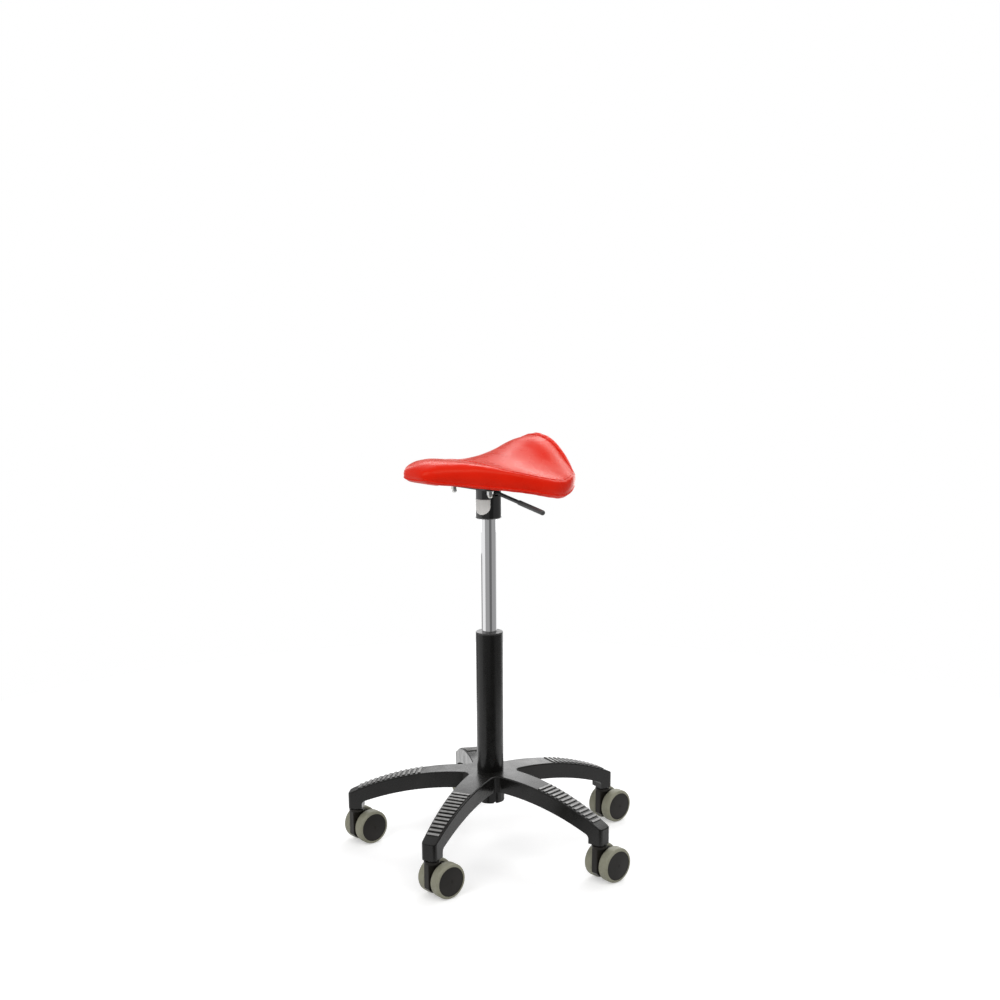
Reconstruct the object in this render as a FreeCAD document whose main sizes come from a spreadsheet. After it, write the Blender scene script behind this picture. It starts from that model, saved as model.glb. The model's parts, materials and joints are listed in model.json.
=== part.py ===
"""Saddle stool on a five-armed castor base, every piece a solid of its own.

Millimetres. The origin is on the floor on the column's axis, +Z is up, the
seat's nose points to -Y and the height lever to +X.
"""
import FreeCAD, Part
import math
import os

import Sketcher

V3 = FreeCAD.Vector

# Driving dimensions, grouped by the piece that they belong to
SIZES = {
    # Five-armed base
    "base_turn": 8.5,
    "arm_count": 5,
    "castor_radius": 259.5,
    "hub_top": 157.0,
    "arm_crest": 52.0,
    "arm_curve": 487.0,
    "arm_under_curve": 515.0,
    "arm_depth": 31.0,
    "arm_root_width": 53.8,
    "arm_tip_width": 28.4,
    "tip_length": 27.0,
    "tip_bottom": 74.0,
    "tip_corner": 7.0,
    "tip_armpit": 9.0,
    "web_fillet": 12.0,
    "arm_edge_fillet": 2.4,
    "hub_boss_width": 53.0,
    "hub_bottom": 96.0,
    "hub_notch_width": 5.0,
    "core_start": 66.0,
    "core_end": 238.0,
    "core_count": 3,
    "core_wall": 4.5,
    "core_roof": 6.0,
    # Ribs on the arms that keep a foot from slipping
    "rib_start": 134.0,
    "rib_pitch": 10.2,
    "rib_count": 13,
    "rib_height": 2.0,
    "rib_foot": 6.8,
    "rib_crown": 4.2,
    "rib_border": 3.6,
    # Stand tube and what is fixed in it
    "tube_width": 50.0,
    "tube_wall": 2.0,
    "tube_top": 421.0,
    "tube_foot_width": 47.0,
    "tube_foot": 98.0,
    "press_gap": 0.05,
    "running_gap": 0.06,
    "bush_length": 90.0,
    "bush_flange": 3.0,
    "bush_edge": 1.0,
    "bush_land": 22.0,
    "bush_relief": 3.0,
    "foot_plate_bottom": 102.0,
    "foot_plate_thick": 4.0,
    # Piston rod, which stands on a thrust bearing inside the tube
    "rod_width": 10.0,
    "spigot_width": 8.0,
    "spigot_tail": 3.2,
    "clip_width": 15.0,
    "clip_thick": 1.6,
    "clip_groove": 0.6,
    "clip_mouth": 5.6,
    "race_width": 25.0,
    "race_thick": 1.6,
    "ball_width": 3.2,
    "ball_ring_width": 17.5,
    "ball_count": 10,
    "cage_thick": 1.2,
    "cage_margin": 1.5,
    "buffer_width": 24.0,
    "buffer_height": 10.0,
    "buffer_edge": 2.0,
    "piston_height": 12.0,
    "piston_bottom": 338.0,
    "piston_groove": 1.4,
    # Pressure tube with its taper and valve
    "lift_width": 28.0,
    "lift_wall": 2.0,
    "lift_bottom": 320.0,
    "lift_taper_start": 648.0,
    "lift_taper_width": 26.4,
    "lift_top": 674.0,
    "lift_cap": 14.0,
    "gland_height": 14.0,
    "pin_width": 6.0,
    "pin_length": 15.8,
    "pin_edge": 2.4,
    # Column head under the seat
    "head_width": 48.0,
    "head_bottom": 634.0,
    "head_top": 692.0,
    "head_edge": 3.5,
    "head_cavity_width": 34.0,
    "head_cavity_depth": 16.0,
    "slot_width": 9.0,
    "slot_headroom": 1.2,
    # Height lever
    "lever_width": 7.0,
    "lever_drop": 10.4,
    "lever_tail": 4.0,
    "lever_bend_at": 26.0,
    "lever_bend_radius": 14.0,
    "lever_droop": 10.5,
    "lever_reach": 145.0,
    "pivot_at": 16.0,
    "pivot_width": 3.0,
    "pivot_length": 33.0,
    "grip_length": 62.0,
    "grip_wall": 1.0,
    "grip_cap": 3.2,
    "grip_round": 2.5,
    # Plate between the column head and the seat, and the studs with cap nuts
    "plate_thick": 3.0,
    "plate_width": 122.0,
    "plate_length": 124.0,
    "plate_shift": 12.0,
    "plate_corner": 14.0,
    "stud_spacing": 100.0,
    "stud_width": 6.0,
    "stud_reach": 8.0,
    "nut_across": 10.0,
    "nut_hex": 5.5,
    "nut_height": 12.0,
    "nut_dome_width": 9.4,
    "washer_width": 12.0,
    "washer_thick": 1.6,
    # Castors
    "wheel_width": 65.0,
    "castor_track": 56.0,
    "wheel_gap": 15.0,
    "castor_trail": 21.0,
    "rim_width": 54.0,
    "rim_inset": 0.7,
    "cap_dome": 1.0,
    "tread_shoulder": 4.6,
    "rim_web": 6.0,
    "rim_wall": 4.0,
    "wheel_boss_width": 18.0,
    "axle_width": 8.0,
    "axle_cover": 3.5,
    "hood_gap": 0.6,
    "hood_front": 12.5,
    "hood_foot": 20.0,
    "hood_toe": 8.0,
    "hood_disc_width": 52.0,
    "hood_back_lean": 8.0,
    "hood_foot_lean": 20.0,
    "hood_edge": 1.5,
    "vent_width": 4.4,
    "vent_drop": 13.5,
    "vent_inset": 4.5,
    "collar_width": 28.0,
    "collar_bottom": 66.0,
    "collar_top": 71.0,
    "collar_edge": 1.2,
    "stem_width": 11.0,
    "stem_root": 13.0,
    "stem_flange_width": 17.0,
    "stem_flange": 2.0,
    "stem_edge": 1.4,
    "socket_wall": 1.5,
    "socket_depth": 25.0,
    "socket_roof": 2.0,
    "seat_gap": 0.3,
    # Seat
    "seat_rear": -126.0,
    "crown_reach": 0.6,
    "crown_share": 0.41,
    "flare_share": 0.72,
    "flank_draw": 6.0,
    "flank_full": 30.0,
    "shoulder_depth": 0.85,
    "pad_share": 0.6,
    "flank_bulge": 1.2,
    "welt": 7.0,
    "shell_thick": 9.0,
    "shell_inset": 13.0,
    "shell_recess": 1.5,
    "hollow_depth": 30.0,
    "shell_pad": 68.0,
}

# Stations of the seat from its rear to its nose: the step forward from the
# station before, the half width, the rise of the ridge above the plate, how
# far the panel's edge lies below the ridge, the flank's height and the
# shoulder's radius
STATION_SIZES = ("step", "half", "rise", "drop", "flank", "shoulder")
STATIONS = {
    "rump": (0.0, 80.0, 44.0, 26.0, 9.0, 5.0),
    "roll": (2.0, 93.0, 62.0, 45.0, 14.0, 6.0),
    "rim": (4.0, 103.0, 76.0, 58.0, 21.0, 6.0),
    "cantle": (8.0, 112.0, 85.0, 64.0, 30.0, 6.0),
    "hip": (21.0, 125.0, 79.0, 59.5, 34.0, 6.0),
    "wing": (27.0, 133.5, 67.0, 52.5, 32.0, 6.0),
    "waist": (30.0, 134.0, 56.5, 38.0, 31.0, 7.0),
    "middle": (31.0, 122.5, 50.5, 24.0, 32.0, 8.0),
    "thigh": (41.0, 100.5, 47.0, 9.5, 36.5, 11.0),
    "neck": (38.0, 80.5, 49.5, 2.5, 41.0, 14.5),
    "nose": (36.0, 62.5, 53.3, 2.7, 39.1, 17.0),
    "lip": (29.0, 49.5, 53.0, 3.5, 34.0, 16.0),
    "beak": (16.5, 40.0, 49.0, 4.5, 25.5, 12.0),
    "tip": (10.0, 28.0, 42.5, 4.5, 12.5, 6.0),
}
SHELL_STATIONS = ("rim", "cantle", "hip", "wing", "waist", "middle", "thigh",
                  "neck", "nose", "lip")

DEGREES = 180 / math.pi
FULL_TURN = 360.0
HEX_CORNERS = 6
NOTCHES = 3
NEAR = 0.01
LOOSE = 0.05

doc = FreeCAD.newDocument("saddle_stool")
sheet = doc.addObject("Spreadsheet::Sheet", "dims")


class Size:
    """A number together with the sheet formula that it comes from."""

    def __init__(self, value, text):
        self.value = float(value)
        self.text = text

    def join(self, other, sign, value):
        return Size(value, "(%s %s %s)" % (self.text, sign, size(other).text))

    def __add__(self, other):
        return self.join(other, "+", self.value + size(other).value)

    def __sub__(self, other):
        return self.join(other, "-", self.value - size(other).value)

    def __mul__(self, other):
        return self.join(other, "*", self.value * size(other).value)

    def __truediv__(self, other):
        return self.join(other, "/", self.value / size(other).value)

    def __neg__(self):
        return size(0) - self

    def __radd__(self, other):
        return size(other) + self

    def __rsub__(self, other):
        return size(other) - self

    def __rmul__(self, other):
        return size(other) * self

    def __rtruediv__(self, other):
        return size(other) / self


def size(value):
    """Wrap a plain number, or pass a Size on."""
    if isinstance(value, Size):
        return value
    return Size(value, repr(float(value)))


def root(of):
    return Size(math.sqrt(of.value), "sqrt(%s)" % of.text)


def sine(degrees):
    return Size(math.sin(math.radians(degrees.value)), "sin(%s)" % degrees.text)


def cosine(degrees):
    return Size(math.cos(math.radians(degrees.value)), "cos(%s)" % degrees.text)


def fill_sheet():
    """Write every driving dimension into the sheet and return them as Sizes by name."""
    cells = dict(SIZES)
    for station, numbers in STATIONS.items():
        for part, number in zip(STATION_SIZES, numbers):
            cells["%s_%s" % (station, part)] = number
    by_name = {}
    for row, (name, number) in enumerate(cells.items(), start=1):
        sheet.set("A%d" % row, name)
        sheet.set("B%d" % row, str(number))
        sheet.setAlias("B%d" % row, name)
        by_name[name] = Size(number, "dims.%s" % name)
    doc.recompute()
    return by_name


D = fill_sheet()
SUB_PARTS = []


def tie(thing, prop, length):
    """Let a sheet formula set a property, unless it is a plain number."""
    if "dims." in length.text:
        thing.setExpression(prop, length.text)


def bind(thing, prop, length):
    """Set a property and tie it to the sheet."""
    length = size(length)
    setattr(thing, prop, length.value)
    tie(thing, prop, length)


def keep(thing, label):
    """Name a finished sub-part."""
    thing.Label = label
    SUB_PARTS.append(thing)
    return thing


def new_body(label):
    body = doc.addObject("PartDesign::Body", "Body_" + label)
    body.AllowCompound = True
    return keep(body, label)


def datum(body, role):
    """The body's own origin plane or axis of that role."""
    for found in body.Origin.OriginFeatures:
        if found.Role == role:
            return found
    raise ValueError(role)


def new_sketch(body, name, plane, shift=None):
    """A sketch on one of the body's origin planes, moved within it by shift."""
    sketch = body.newObject("Sketcher::SketchObject", name)
    sketch.AttachmentSupport = (datum(body, plane), [""])
    sketch.MapMode = "FlatFace"
    if shift is not None:
        steps = [size(step) for step in shift]
        sketch.AttachmentOffset = FreeCAD.Placement(
            V3(*[step.value for step in steps]), FreeCAD.Rotation())
        for axis, step in zip("xyz", steps):
            tie(sketch, "AttachmentOffset.Base." + axis, step)
    return sketch


def hold(sketch, kind, shape, point, length):
    """Fix one coordinate of a sketch point by its distance from the origin."""
    length = size(length)
    number = sketch.addConstraint(Sketcher.Constraint(
        kind, -1, 1, shape, point, length.value))
    tie(sketch, "Constraints[%d]" % number, length)


def arc_between(start, end, centre):
    """The short arc from start to end about centre, and whether it is stored reversed."""
    radius = math.hypot(start[0] - centre[0], start[1] - centre[1])
    first = math.atan2(start[1] - centre[1], start[0] - centre[0])
    last = math.atan2(end[1] - centre[1], end[0] - centre[0])
    sweep = (last - first + math.pi) % (2 * math.pi) - math.pi
    circle = Part.Circle(V3(centre[0], centre[1], 0), V3(0, 0, 1), radius)
    if sweep < 0:
        return Part.ArcOfCircle(circle, last, last - sweep), True
    return Part.ArcOfCircle(circle, first, first + sweep), False


def draw(sketch, points, closed=True):
    """Add an outline whose points are held by their distances from the origin.

    A point is (x, y), or (x, y, centre) where an arc about that centre leaves it
    the shorter way round. The point where an arc ends lies on that arc, so only
    one of its coordinates is held.
    """
    flat = [(size(point[0]).value, size(point[1]).value) for point in points]
    count = len(points) if closed else len(points) - 1
    first = sketch.GeometryCount
    ends = []
    for index in range(count):
        start = flat[index]
        end = flat[(index + 1) % len(flat)]
        if len(points[index]) == 2:
            sketch.addGeometry(Part.LineSegment(V3(*start, 0), V3(*end, 0)), False)
            ends.append((1, 2))
        else:
            centre = [size(step).value for step in points[index][2]]
            arc, reverse = arc_between(start, end, centre)
            sketch.addGeometry(arc, False)
            ends.append((2, 1) if reverse else (1, 2))
    for index in range(count if closed else count - 1):
        after = (index + 1) % count
        sketch.addConstraint(Sketcher.Constraint(
            "Coincident", first + index, ends[index][1], first + after, ends[after][0]))
    for index, point in enumerate(points):
        after_arc = len(points[index - 1]) == 3 and (closed or index > 0)
        beside = False
        if after_arc:
            centre = points[index - 1][2]
            beside = abs(flat[index][0] - size(centre[0]).value) > \
                abs(flat[index][1] - size(centre[1]).value)
        shape, end = (first + index, ends[index][0]) if index < count \
            else (first + index - 1, ends[index - 1][1])
        if not beside:
            hold(sketch, "DistanceX", shape, end, point[0])
        if beside or not after_arc:
            hold(sketch, "DistanceY", shape, end, point[1])
        if len(point) == 3:
            hold(sketch, "DistanceX", shape, 3, point[2][0])
            hold(sketch, "DistanceY", shape, 3, point[2][1])
    return sketch


def draw_circle(sketch, x, y, radius):
    index = sketch.addGeometry(
        Part.Circle(V3(size(x).value, size(y).value, 0), V3(0, 0, 1), radius.value), False)
    hold(sketch, "DistanceX", index, 3, x)
    hold(sketch, "DistanceY", index, 3, y)
    number = sketch.addConstraint(Sketcher.Constraint("Radius", index, radius.value))
    tie(sketch, "Constraints[%d]" % number, radius)
    return sketch


def add_feature(body, kind, name, sketch):
    made = body.newObject("PartDesign::" + kind, name)
    made.Profile = sketch
    return made


def revolve(body, name, points, axis="V_Axis", kind="Revolution", shift=None):
    """Turn an outline in the body's XZ plane a full circle, to add or to cut."""
    sketch = draw(new_sketch(body, name + "_outline", "XZ_Plane", shift), points)
    made = add_feature(body, kind, name, sketch)
    made.ReferenceAxis = (sketch, [axis])
    made.Angle = FULL_TURN
    return made


def pad(body, name, sketch, length, symmetric=False):
    made = add_feature(body, "Pad", name, sketch)
    if symmetric:
        made.SideType = "Symmetric"
    bind(made, "Length", length)
    return made


def pocket_through(body, name, sketch):
    """Cut a sketch out of the whole body, both ways from its plane."""
    made = add_feature(body, "Pocket", name, sketch)
    made.SideType = "Symmetric"
    made.Type = "ThroughAll"
    return made


def pocket_across(body, name, sketch, width):
    """Cut a sketch out of the body to half of a width on either side of its plane."""
    made = add_feature(body, "Pocket", name, sketch)
    made.SideType = "Symmetric"
    bind(made, "Length", width)
    return made


def pocket_along(body, name, sketch, depth):
    """Cut a sketch out of the body along the positive axis of its plane."""
    made = add_feature(body, "Pocket", name, sketch)
    made.Reversed = True
    bind(made, "Length", depth)
    return made


def fillet(body, name, chosen, radius):
    """Round the edges of the body so far for which chosen(edge) is true."""
    doc.recompute()
    names = ["Edge%d" % number for number, edge in enumerate(body.Tip.Shape.Edges, start=1)
             if chosen(edge)]
    base = body.Tip
    made = body.newObject("PartDesign::Fillet", name)
    made.Base = (base, names)
    bind(made, "Radius", radius)
    return made


def polar(body, name, axis, count, angle=FULL_TURN, original=None):
    """Repeat one feature, or else the whole body so far, round an axis."""
    doc.recompute()
    made = body.newObject("PartDesign::PolarPattern", name)
    if original is None:
        made.TransformMode = "Whole shape"
    else:
        made.Originals = [original]
    made.Axis = axis
    bind(made, "Angle", angle)
    made.Occurrences = int(size(count).value)
    tie(made, "Occurrences", size(count))
    body.Tip = made
    return made


def line_up(body, name, axis, length, count=2):
    """Repeat the whole body so far along an axis."""
    doc.recompute()
    made = body.newObject("PartDesign::LinearPattern", name)
    made.TransformMode = "Whole shape"
    made.Direction = axis
    bind(made, "Length", length)
    made.Occurrences = count
    body.Tip = made
    return made


def place(thing, x=0, y=0, z=0, turn=None, about=V3(0, 0, 1)):
    """Put a sub-part where its sizes say, turned about an axis through its origin."""
    rotation = FreeCAD.Rotation()
    if turn is not None:
        rotation = FreeCAD.Rotation(about, size(turn).value)
    steps = [size(step) for step in (x, y, z)]
    thing.Placement = FreeCAD.Placement(V3(*[step.value for step in steps]), rotation)
    for axis, step in zip("xyz", steps):
        tie(thing, "Placement.Base." + axis, step)
    if turn is not None:
        tie(thing, "Placement.Rotation.Angle", size(turn))


def meets(number, length):
    """Whether a measured number is a driving length, but for rounding."""
    return abs(number - size(length).value) < NEAR


def is_ring(edge, radius, height, axis="z"):
    """Whether an edge is a circle of that radius, centred at that height on an axis."""
    if not isinstance(edge.Curve, Part.Circle) or not meets(edge.Curve.Radius, radius):
        return False
    return meets(getattr(edge.Curve.Center, axis), height)


def is_upright(edge):
    return meets(abs(edge.Vertexes[0].Z - edge.Vertexes[-1].Z), edge.Length)


def middle_of(edge):
    return edge.valueAt((edge.FirstParameter + edge.LastParameter) / 2)


# Sizes that several pieces share
TIP_END = D["castor_radius"] + D["tip_length"] / 2
TIP_START = D["castor_radius"] - D["tip_length"] / 2
TUBE_BORE = D["tube_width"] / 2 - D["tube_wall"]
FOOT_SLOPE = (D["tube_width"] - D["tube_foot_width"]) / 2 / (D["hub_top"] - D["tube_foot"])
FOOT_PLATE_TOP = D["foot_plate_bottom"] + D["foot_plate_thick"]
RACE_TOP = FOOT_PLATE_TOP + D["race_thick"]
BALL_CENTRE = RACE_TOP + D["press_gap"] + D["ball_width"] / 2
UPPER_RACE = BALL_CENTRE + D["ball_width"] / 2 + D["press_gap"]
ROD_SHOULDER = UPPER_RACE + D["race_thick"]
SPIGOT_BORE = D["spigot_width"] / 2 + D["running_gap"]
ROD_BORE = D["rod_width"] / 2 + D["running_gap"]
LIFT_BORE = D["lift_width"] / 2 - D["lift_wall"]
LEVER_HEIGHT = D["head_top"] - D["lever_drop"]
PLATE_TOP = D["head_top"] + D["plate_thick"]
WHEEL_RADIUS = D["wheel_width"] / 2
SOCKET_BORE = D["stem_width"] / 2 + D["running_gap"]
SOCKET_OUT = SOCKET_BORE + D["socket_wall"]


def arm_top(reach):
    """The height of an arm's curved top at a distance from the hub's axis."""
    out = reach - D["arm_crest"]
    curve = D["arm_curve"]
    return D["hub_top"] - curve + root(curve * curve - out * out)


def arm_under(reach):
    out = reach - D["arm_crest"]
    curve = D["arm_under_curve"]
    return D["hub_top"] - D["arm_depth"] - curve + root(curve * curve - out * out)


def arm_half(reach):
    """Half the arm's width, which narrows evenly from the hub to the tip."""
    narrowing = (D["arm_root_width"] - D["arm_tip_width"]) / 2 / TIP_END
    return D["arm_root_width"] / 2 - narrowing * reach


def trim_to_plan(body, name, start, start_half, end_half):
    """Cut away what lies beside a plan that tapers from start to the arm's end."""
    sketch = new_sketch(body, name + "_plan", "XY_Plane")
    draw(sketch, [(start, -start_half), (TIP_END, -end_half),
                  (TIP_END, end_half), (start, start_half)])
    border = D["arm_root_width"] * 2
    draw(sketch, [(-border, -border), (TIP_END + border, -border),
                  (TIP_END + border, border), (-border, border)])
    return pocket_through(body, name, sketch)


def make_arm_ribs():
    """The anti-slip ribs of all arms, in one body that the base takes in."""
    body = doc.addObject("PartDesign::Body", "Body_arm_ribs")
    body.AllowCompound = True
    curve = D["arm_curve"]
    along = D["rib_start"] - D["arm_crest"]
    lean = along / curve
    rise = root(1 - lean * lean)

    def on_arc(radius, sideways):
        return radius * lean + sideways * rise, radius * rise - sideways * lean

    low = curve - D["rib_height"] / 2
    high = curve + D["rib_height"]
    sketch = new_sketch(body, "rib_outline", "XZ_Plane",
                        (D["arm_crest"], D["hub_top"] - curve, 0))
    draw(sketch, [on_arc(low, -D["rib_foot"] / 2), on_arc(low, D["rib_foot"] / 2),
                  on_arc(high, D["rib_crown"] / 2), on_arc(high, -D["rib_crown"] / 2)])
    rib = pad(body, "rib", sketch, D["arm_root_width"], symmetric=True)
    row_angle = (D["rib_count"] - 1) * D["rib_pitch"] / curve * DEGREES
    row = polar(body, "rib_row", (sketch, ["N_Axis"]), D["rib_count"], row_angle, rib)
    row.Reversed = True
    start = D["rib_start"] - D["rib_pitch"]
    trim_to_plan(body, "rib_trim", start, arm_half(start) - D["rib_border"],
                 arm_half(TIP_END) - D["rib_border"])
    polar(body, "ribs_round", (datum(body, "Z_Axis"), [""]), D["arm_count"])
    return body


def core_out(body):
    """Hollow the arm from below into bays with cross ribs between them."""
    room = D["core_end"] - D["core_start"]
    bay = (room - (D["core_count"] - 1) * D["core_wall"]) / D["core_count"]
    for index in range(SIZES["core_count"]):
        start = D["core_start"] + index * (bay + D["core_wall"])
        end = start + bay
        sketch = new_sketch(body, "core_%d_outline" % index, "XZ_Plane")
        draw(sketch, [(start, 0), (end, 0), (end, arm_top(end) - D["core_roof"]),
                      (start, arm_top(start) - D["core_roof"])])
        pocket_across(body, "core_%d" % index, sketch, (arm_half(end) - D["core_wall"]) * 2)


def top_height(point):
    """The height of the arms' top surface above or below a point."""
    share = FULL_TURN / SIZES["arm_count"]
    angle = math.degrees(math.atan2(point.y, point.x))
    off = (angle + share / 2) % share - share / 2
    reach = math.hypot(point.x, point.y) * math.cos(math.radians(off))
    if reach < SIZES["arm_crest"]:
        return SIZES["hub_top"]
    return arm_top(size(reach)).value


def make_star_base():
    """The moulded base: curved arms, hub, tapered bore, castor seats, cored undersides, ribs."""
    ribs = make_arm_ribs()
    body = new_body("star_base")
    crest = D["arm_crest"]
    under = D["hub_top"] - D["arm_depth"]
    side = new_sketch(body, "arm_side", "XZ_Plane")
    draw(side, [
        (0, D["hub_top"]),
        (0, under),
        (crest, under, (crest, under - D["arm_under_curve"])),
        (TIP_START, arm_under(TIP_START)),
        (TIP_START, D["tip_bottom"]),
        (TIP_END, D["tip_bottom"]),
        (TIP_END, arm_top(TIP_END), (crest, D["hub_top"] - D["arm_curve"])),
        (crest, D["hub_top"]),
    ])
    pad(body, "arm", side, D["arm_root_width"] * 2, symmetric=True)
    trim_to_plan(body, "arm_trim", size(0), arm_half(size(0)), arm_half(TIP_END))

    def at_tip_corner(edge):
        return is_upright(edge) and meets(middle_of(edge).x, TIP_END)

    def at_armpit(edge):
        middle = middle_of(edge)
        return meets(middle.x, TIP_START) and meets(middle.z, arm_under(TIP_START)) \
            and not is_upright(edge)

    fillet(body, "tip_corners", at_tip_corner, D["tip_corner"])
    fillet(body, "tip_root", at_armpit, D["tip_armpit"])
    socket = new_sketch(body, "socket_outline", "XY_Plane", (0, 0, D["tip_bottom"]))
    draw_circle(socket, D["castor_radius"], 0, SOCKET_OUT + D["press_gap"])
    pocket_along(body, "socket_seat", socket, D["socket_depth"] + D["socket_roof"])
    core_out(body)
    polar(body, "arms_round", (datum(body, "Z_Axis"), [""]), D["arm_count"])

    boss = D["hub_boss_width"] / 2
    revolve(body, "hub", [
        (0, D["hub_bottom"]), (boss, D["hub_bottom"]), (boss, D["hub_top"]), (0, D["hub_top"])])

    def at_web(edge):
        near = math.hypot(middle_of(edge).x, middle_of(edge).y) < SIZES["arm_root_width"]
        return near and is_upright(edge) and meets(edge.Length, D["arm_depth"]) \
            and meets(edge.Vertexes[0].Z + edge.Vertexes[-1].Z, D["hub_top"] + under)

    def at_top(edge):
        points = [middle_of(edge)] + [vertex.Point for vertex in edge.Vertexes]
        outside = math.hypot(points[0].x, points[0].y) > boss.value + NEAR
        return outside and all(abs(point.z - top_height(point)) < LOOSE for point in points)

    fillet(body, "webs", at_web, D["web_fillet"])
    fillet(body, "top_edges", at_top, D["arm_edge_fillet"])

    notch = new_sketch(body, "notch_outline", "XZ_Plane")
    draw_circle(notch, 0, D["hub_bottom"], D["hub_notch_width"] / 2)
    cut = pocket_across(body, "notch", notch, D["hub_boss_width"] * 2)
    polar(body, "notches", (datum(body, "Z_Axis"), [""]), NOTCHES, FULL_TURN / NOTCHES, cut)

    low = D["hub_bottom"] - D["arm_depth"]
    high = D["hub_top"] + D["arm_depth"]
    foot = D["tube_foot_width"] / 2 + D["press_gap"]
    revolve(body, "bore", [
        (0, low), (foot + FOOT_SLOPE * (low - D["tube_foot"]), low),
        (foot + FOOT_SLOPE * (high - D["tube_foot"]), high), (0, high)], kind="Groove")
    doc.recompute()
    join = body.newObject("PartDesign::Boolean", "take_in_ribs")
    join.Type = "Fuse"
    join.Group = [ribs]
    body.Tip = join
    place(body, turn=D["base_turn"])


def make_castor_sockets():
    """The steel cups in the arm tips, one group of like pieces."""
    body = new_body("castor_sockets")
    bottom = D["tip_bottom"]
    top = bottom + D["socket_depth"]
    revolve(body, "socket", [
        (SOCKET_BORE, bottom), (SOCKET_OUT, bottom),
        (SOCKET_OUT, top + D["socket_roof"] - D["press_gap"]),
        (0, top + D["socket_roof"] - D["press_gap"]), (0, top), (SOCKET_BORE, top)],
        shift=(D["castor_radius"], 0, 0))
    polar(body, "sockets_round", (datum(body, "Z_Axis"), [""]), D["arm_count"])
    place(body, turn=D["base_turn"])


def make_stand_tube():
    body = new_body("stand_tube")
    foot = D["tube_foot_width"] / 2
    outer = D["tube_width"] / 2
    revolve(body, "tube", [
        (foot, D["tube_foot"]), (outer, D["hub_top"]), (outer, D["tube_top"]),
        (TUBE_BORE, D["tube_top"]), (TUBE_BORE, D["hub_top"]),
        (foot - D["tube_wall"], D["tube_foot"])])


def make_guide_bush():
    """The plastic sleeve that guides the pressure tube, relieved between its two lands."""
    body = new_body("guide_bush")
    outer = TUBE_BORE - D["press_gap"]
    waist = outer - D["bush_relief"]
    bore = D["lift_width"] / 2 + D["running_gap"]
    top = D["tube_top"]
    low = top - D["bush_length"]
    flange = D["tube_width"] / 2
    revolve(body, "bush", [
        (bore, low), (outer, low), (outer, low + D["bush_land"]),
        (waist, low + D["bush_land"]), (waist, top - D["bush_land"]),
        (outer, top - D["bush_land"]), (outer, top), (flange, top),
        (flange, top + D["bush_flange"]), (bore, top + D["bush_flange"])])
    fillet(body, "flange_edge",
           lambda edge: is_ring(edge, flange, top + D["bush_flange"]), D["bush_edge"])


def make_foot_plate():
    """The steel disc welded into the tube's foot, which carries the bearing."""
    body = new_body("foot_plate")
    outer = D["tube_foot_width"] / 2 - D["tube_wall"] - D["press_gap"]
    revolve(body, "plate", [
        (SPIGOT_BORE, D["foot_plate_bottom"]), (outer, D["foot_plate_bottom"]),
        (outer, FOOT_PLATE_TOP), (SPIGOT_BORE, FOOT_PLATE_TOP)])


def make_races():
    """The thrust bearing's two steel washers."""
    for label, bottom in (("lower_race", FOOT_PLATE_TOP), ("upper_race", UPPER_RACE)):
        body = new_body(label)
        revolve(body, label + "_ring", [
            (SPIGOT_BORE, bottom), (D["race_width"] / 2, bottom),
            (D["race_width"] / 2, bottom + D["race_thick"]),
            (SPIGOT_BORE, bottom + D["race_thick"])])


def make_ball_cage():
    """The thrust bearing's balls in their cage, as one node of separate solids."""
    ring = D["ball_ring_width"] / 2
    ball = D["ball_width"] / 2
    cage = new_body("ball_cage")
    inner = ring - ball - D["cage_margin"]
    outer = ring + ball + D["cage_margin"]
    half = D["cage_thick"] / 2
    revolve(cage, "cage", [
        (inner, BALL_CENTRE - half), (outer, BALL_CENTRE - half),
        (outer, BALL_CENTRE + half), (inner, BALL_CENTRE + half)])
    hole = new_sketch(cage, "pocket_outline", "XY_Plane")
    draw_circle(hole, ring, 0, ball + D["press_gap"])
    cut = pocket_through(cage, "ball_pocket", hole)
    polar(cage, "pockets_round", (datum(cage, "Z_Axis"), [""]), D["ball_count"],
          original=cut)
    balls = add_feature(cage, "Revolution", "ball", draw(
        new_sketch(cage, "ball_outline", "XZ_Plane", (ring, BALL_CENTRE, 0)),
        [(0, ball, (0, 0)), (ball, 0, (0, 0)), (0, -ball)]))
    balls.ReferenceAxis = (balls.Profile[0], ["V_Axis"])
    balls.Angle = FULL_TURN
    polar(cage, "balls_round", (datum(cage, "Z_Axis"), [""]), D["ball_count"],
          original=balls)


def make_piston_rod():
    """The rod: a spigot through the foot plate, a groove for the clip, the long shaft."""
    body = new_body("piston_rod")
    spigot = D["spigot_width"] / 2
    shaft = D["rod_width"] / 2
    groove_top = D["foot_plate_bottom"]
    groove_bottom = groove_top - D["clip_thick"]
    neck = spigot - D["clip_groove"]
    top = D["piston_bottom"] + D["piston_height"]
    revolve(body, "rod", [
        (0, groove_bottom - D["spigot_tail"]), (spigot, groove_bottom - D["spigot_tail"]),
        (spigot, groove_bottom), (neck, groove_bottom), (neck, groove_top),
        (spigot, groove_top), (spigot, ROD_SHOULDER), (shaft, ROD_SHOULDER),
        (shaft, top), (0, top)])


def make_retaining_clip():
    """The open spring clip under the foot plate that holds the rod down."""
    body = new_body("retaining_clip")
    inner = D["spigot_width"] / 2 - D["clip_groove"] + D["press_gap"]
    top = D["foot_plate_bottom"] - D["press_gap"]
    bottom = D["foot_plate_bottom"] - D["clip_thick"] + D["press_gap"]
    outer = D["clip_width"] / 2
    revolve(body, "ring", [(inner, bottom), (outer, bottom), (outer, top), (inner, top)])
    mouth = new_sketch(body, "mouth_outline", "XY_Plane")
    half = D["clip_mouth"] / 2
    draw(mouth, [(0, -half), (outer * 2, -half), (outer * 2, half), (0, half)])
    pocket_through(body, "mouth", mouth)


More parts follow.
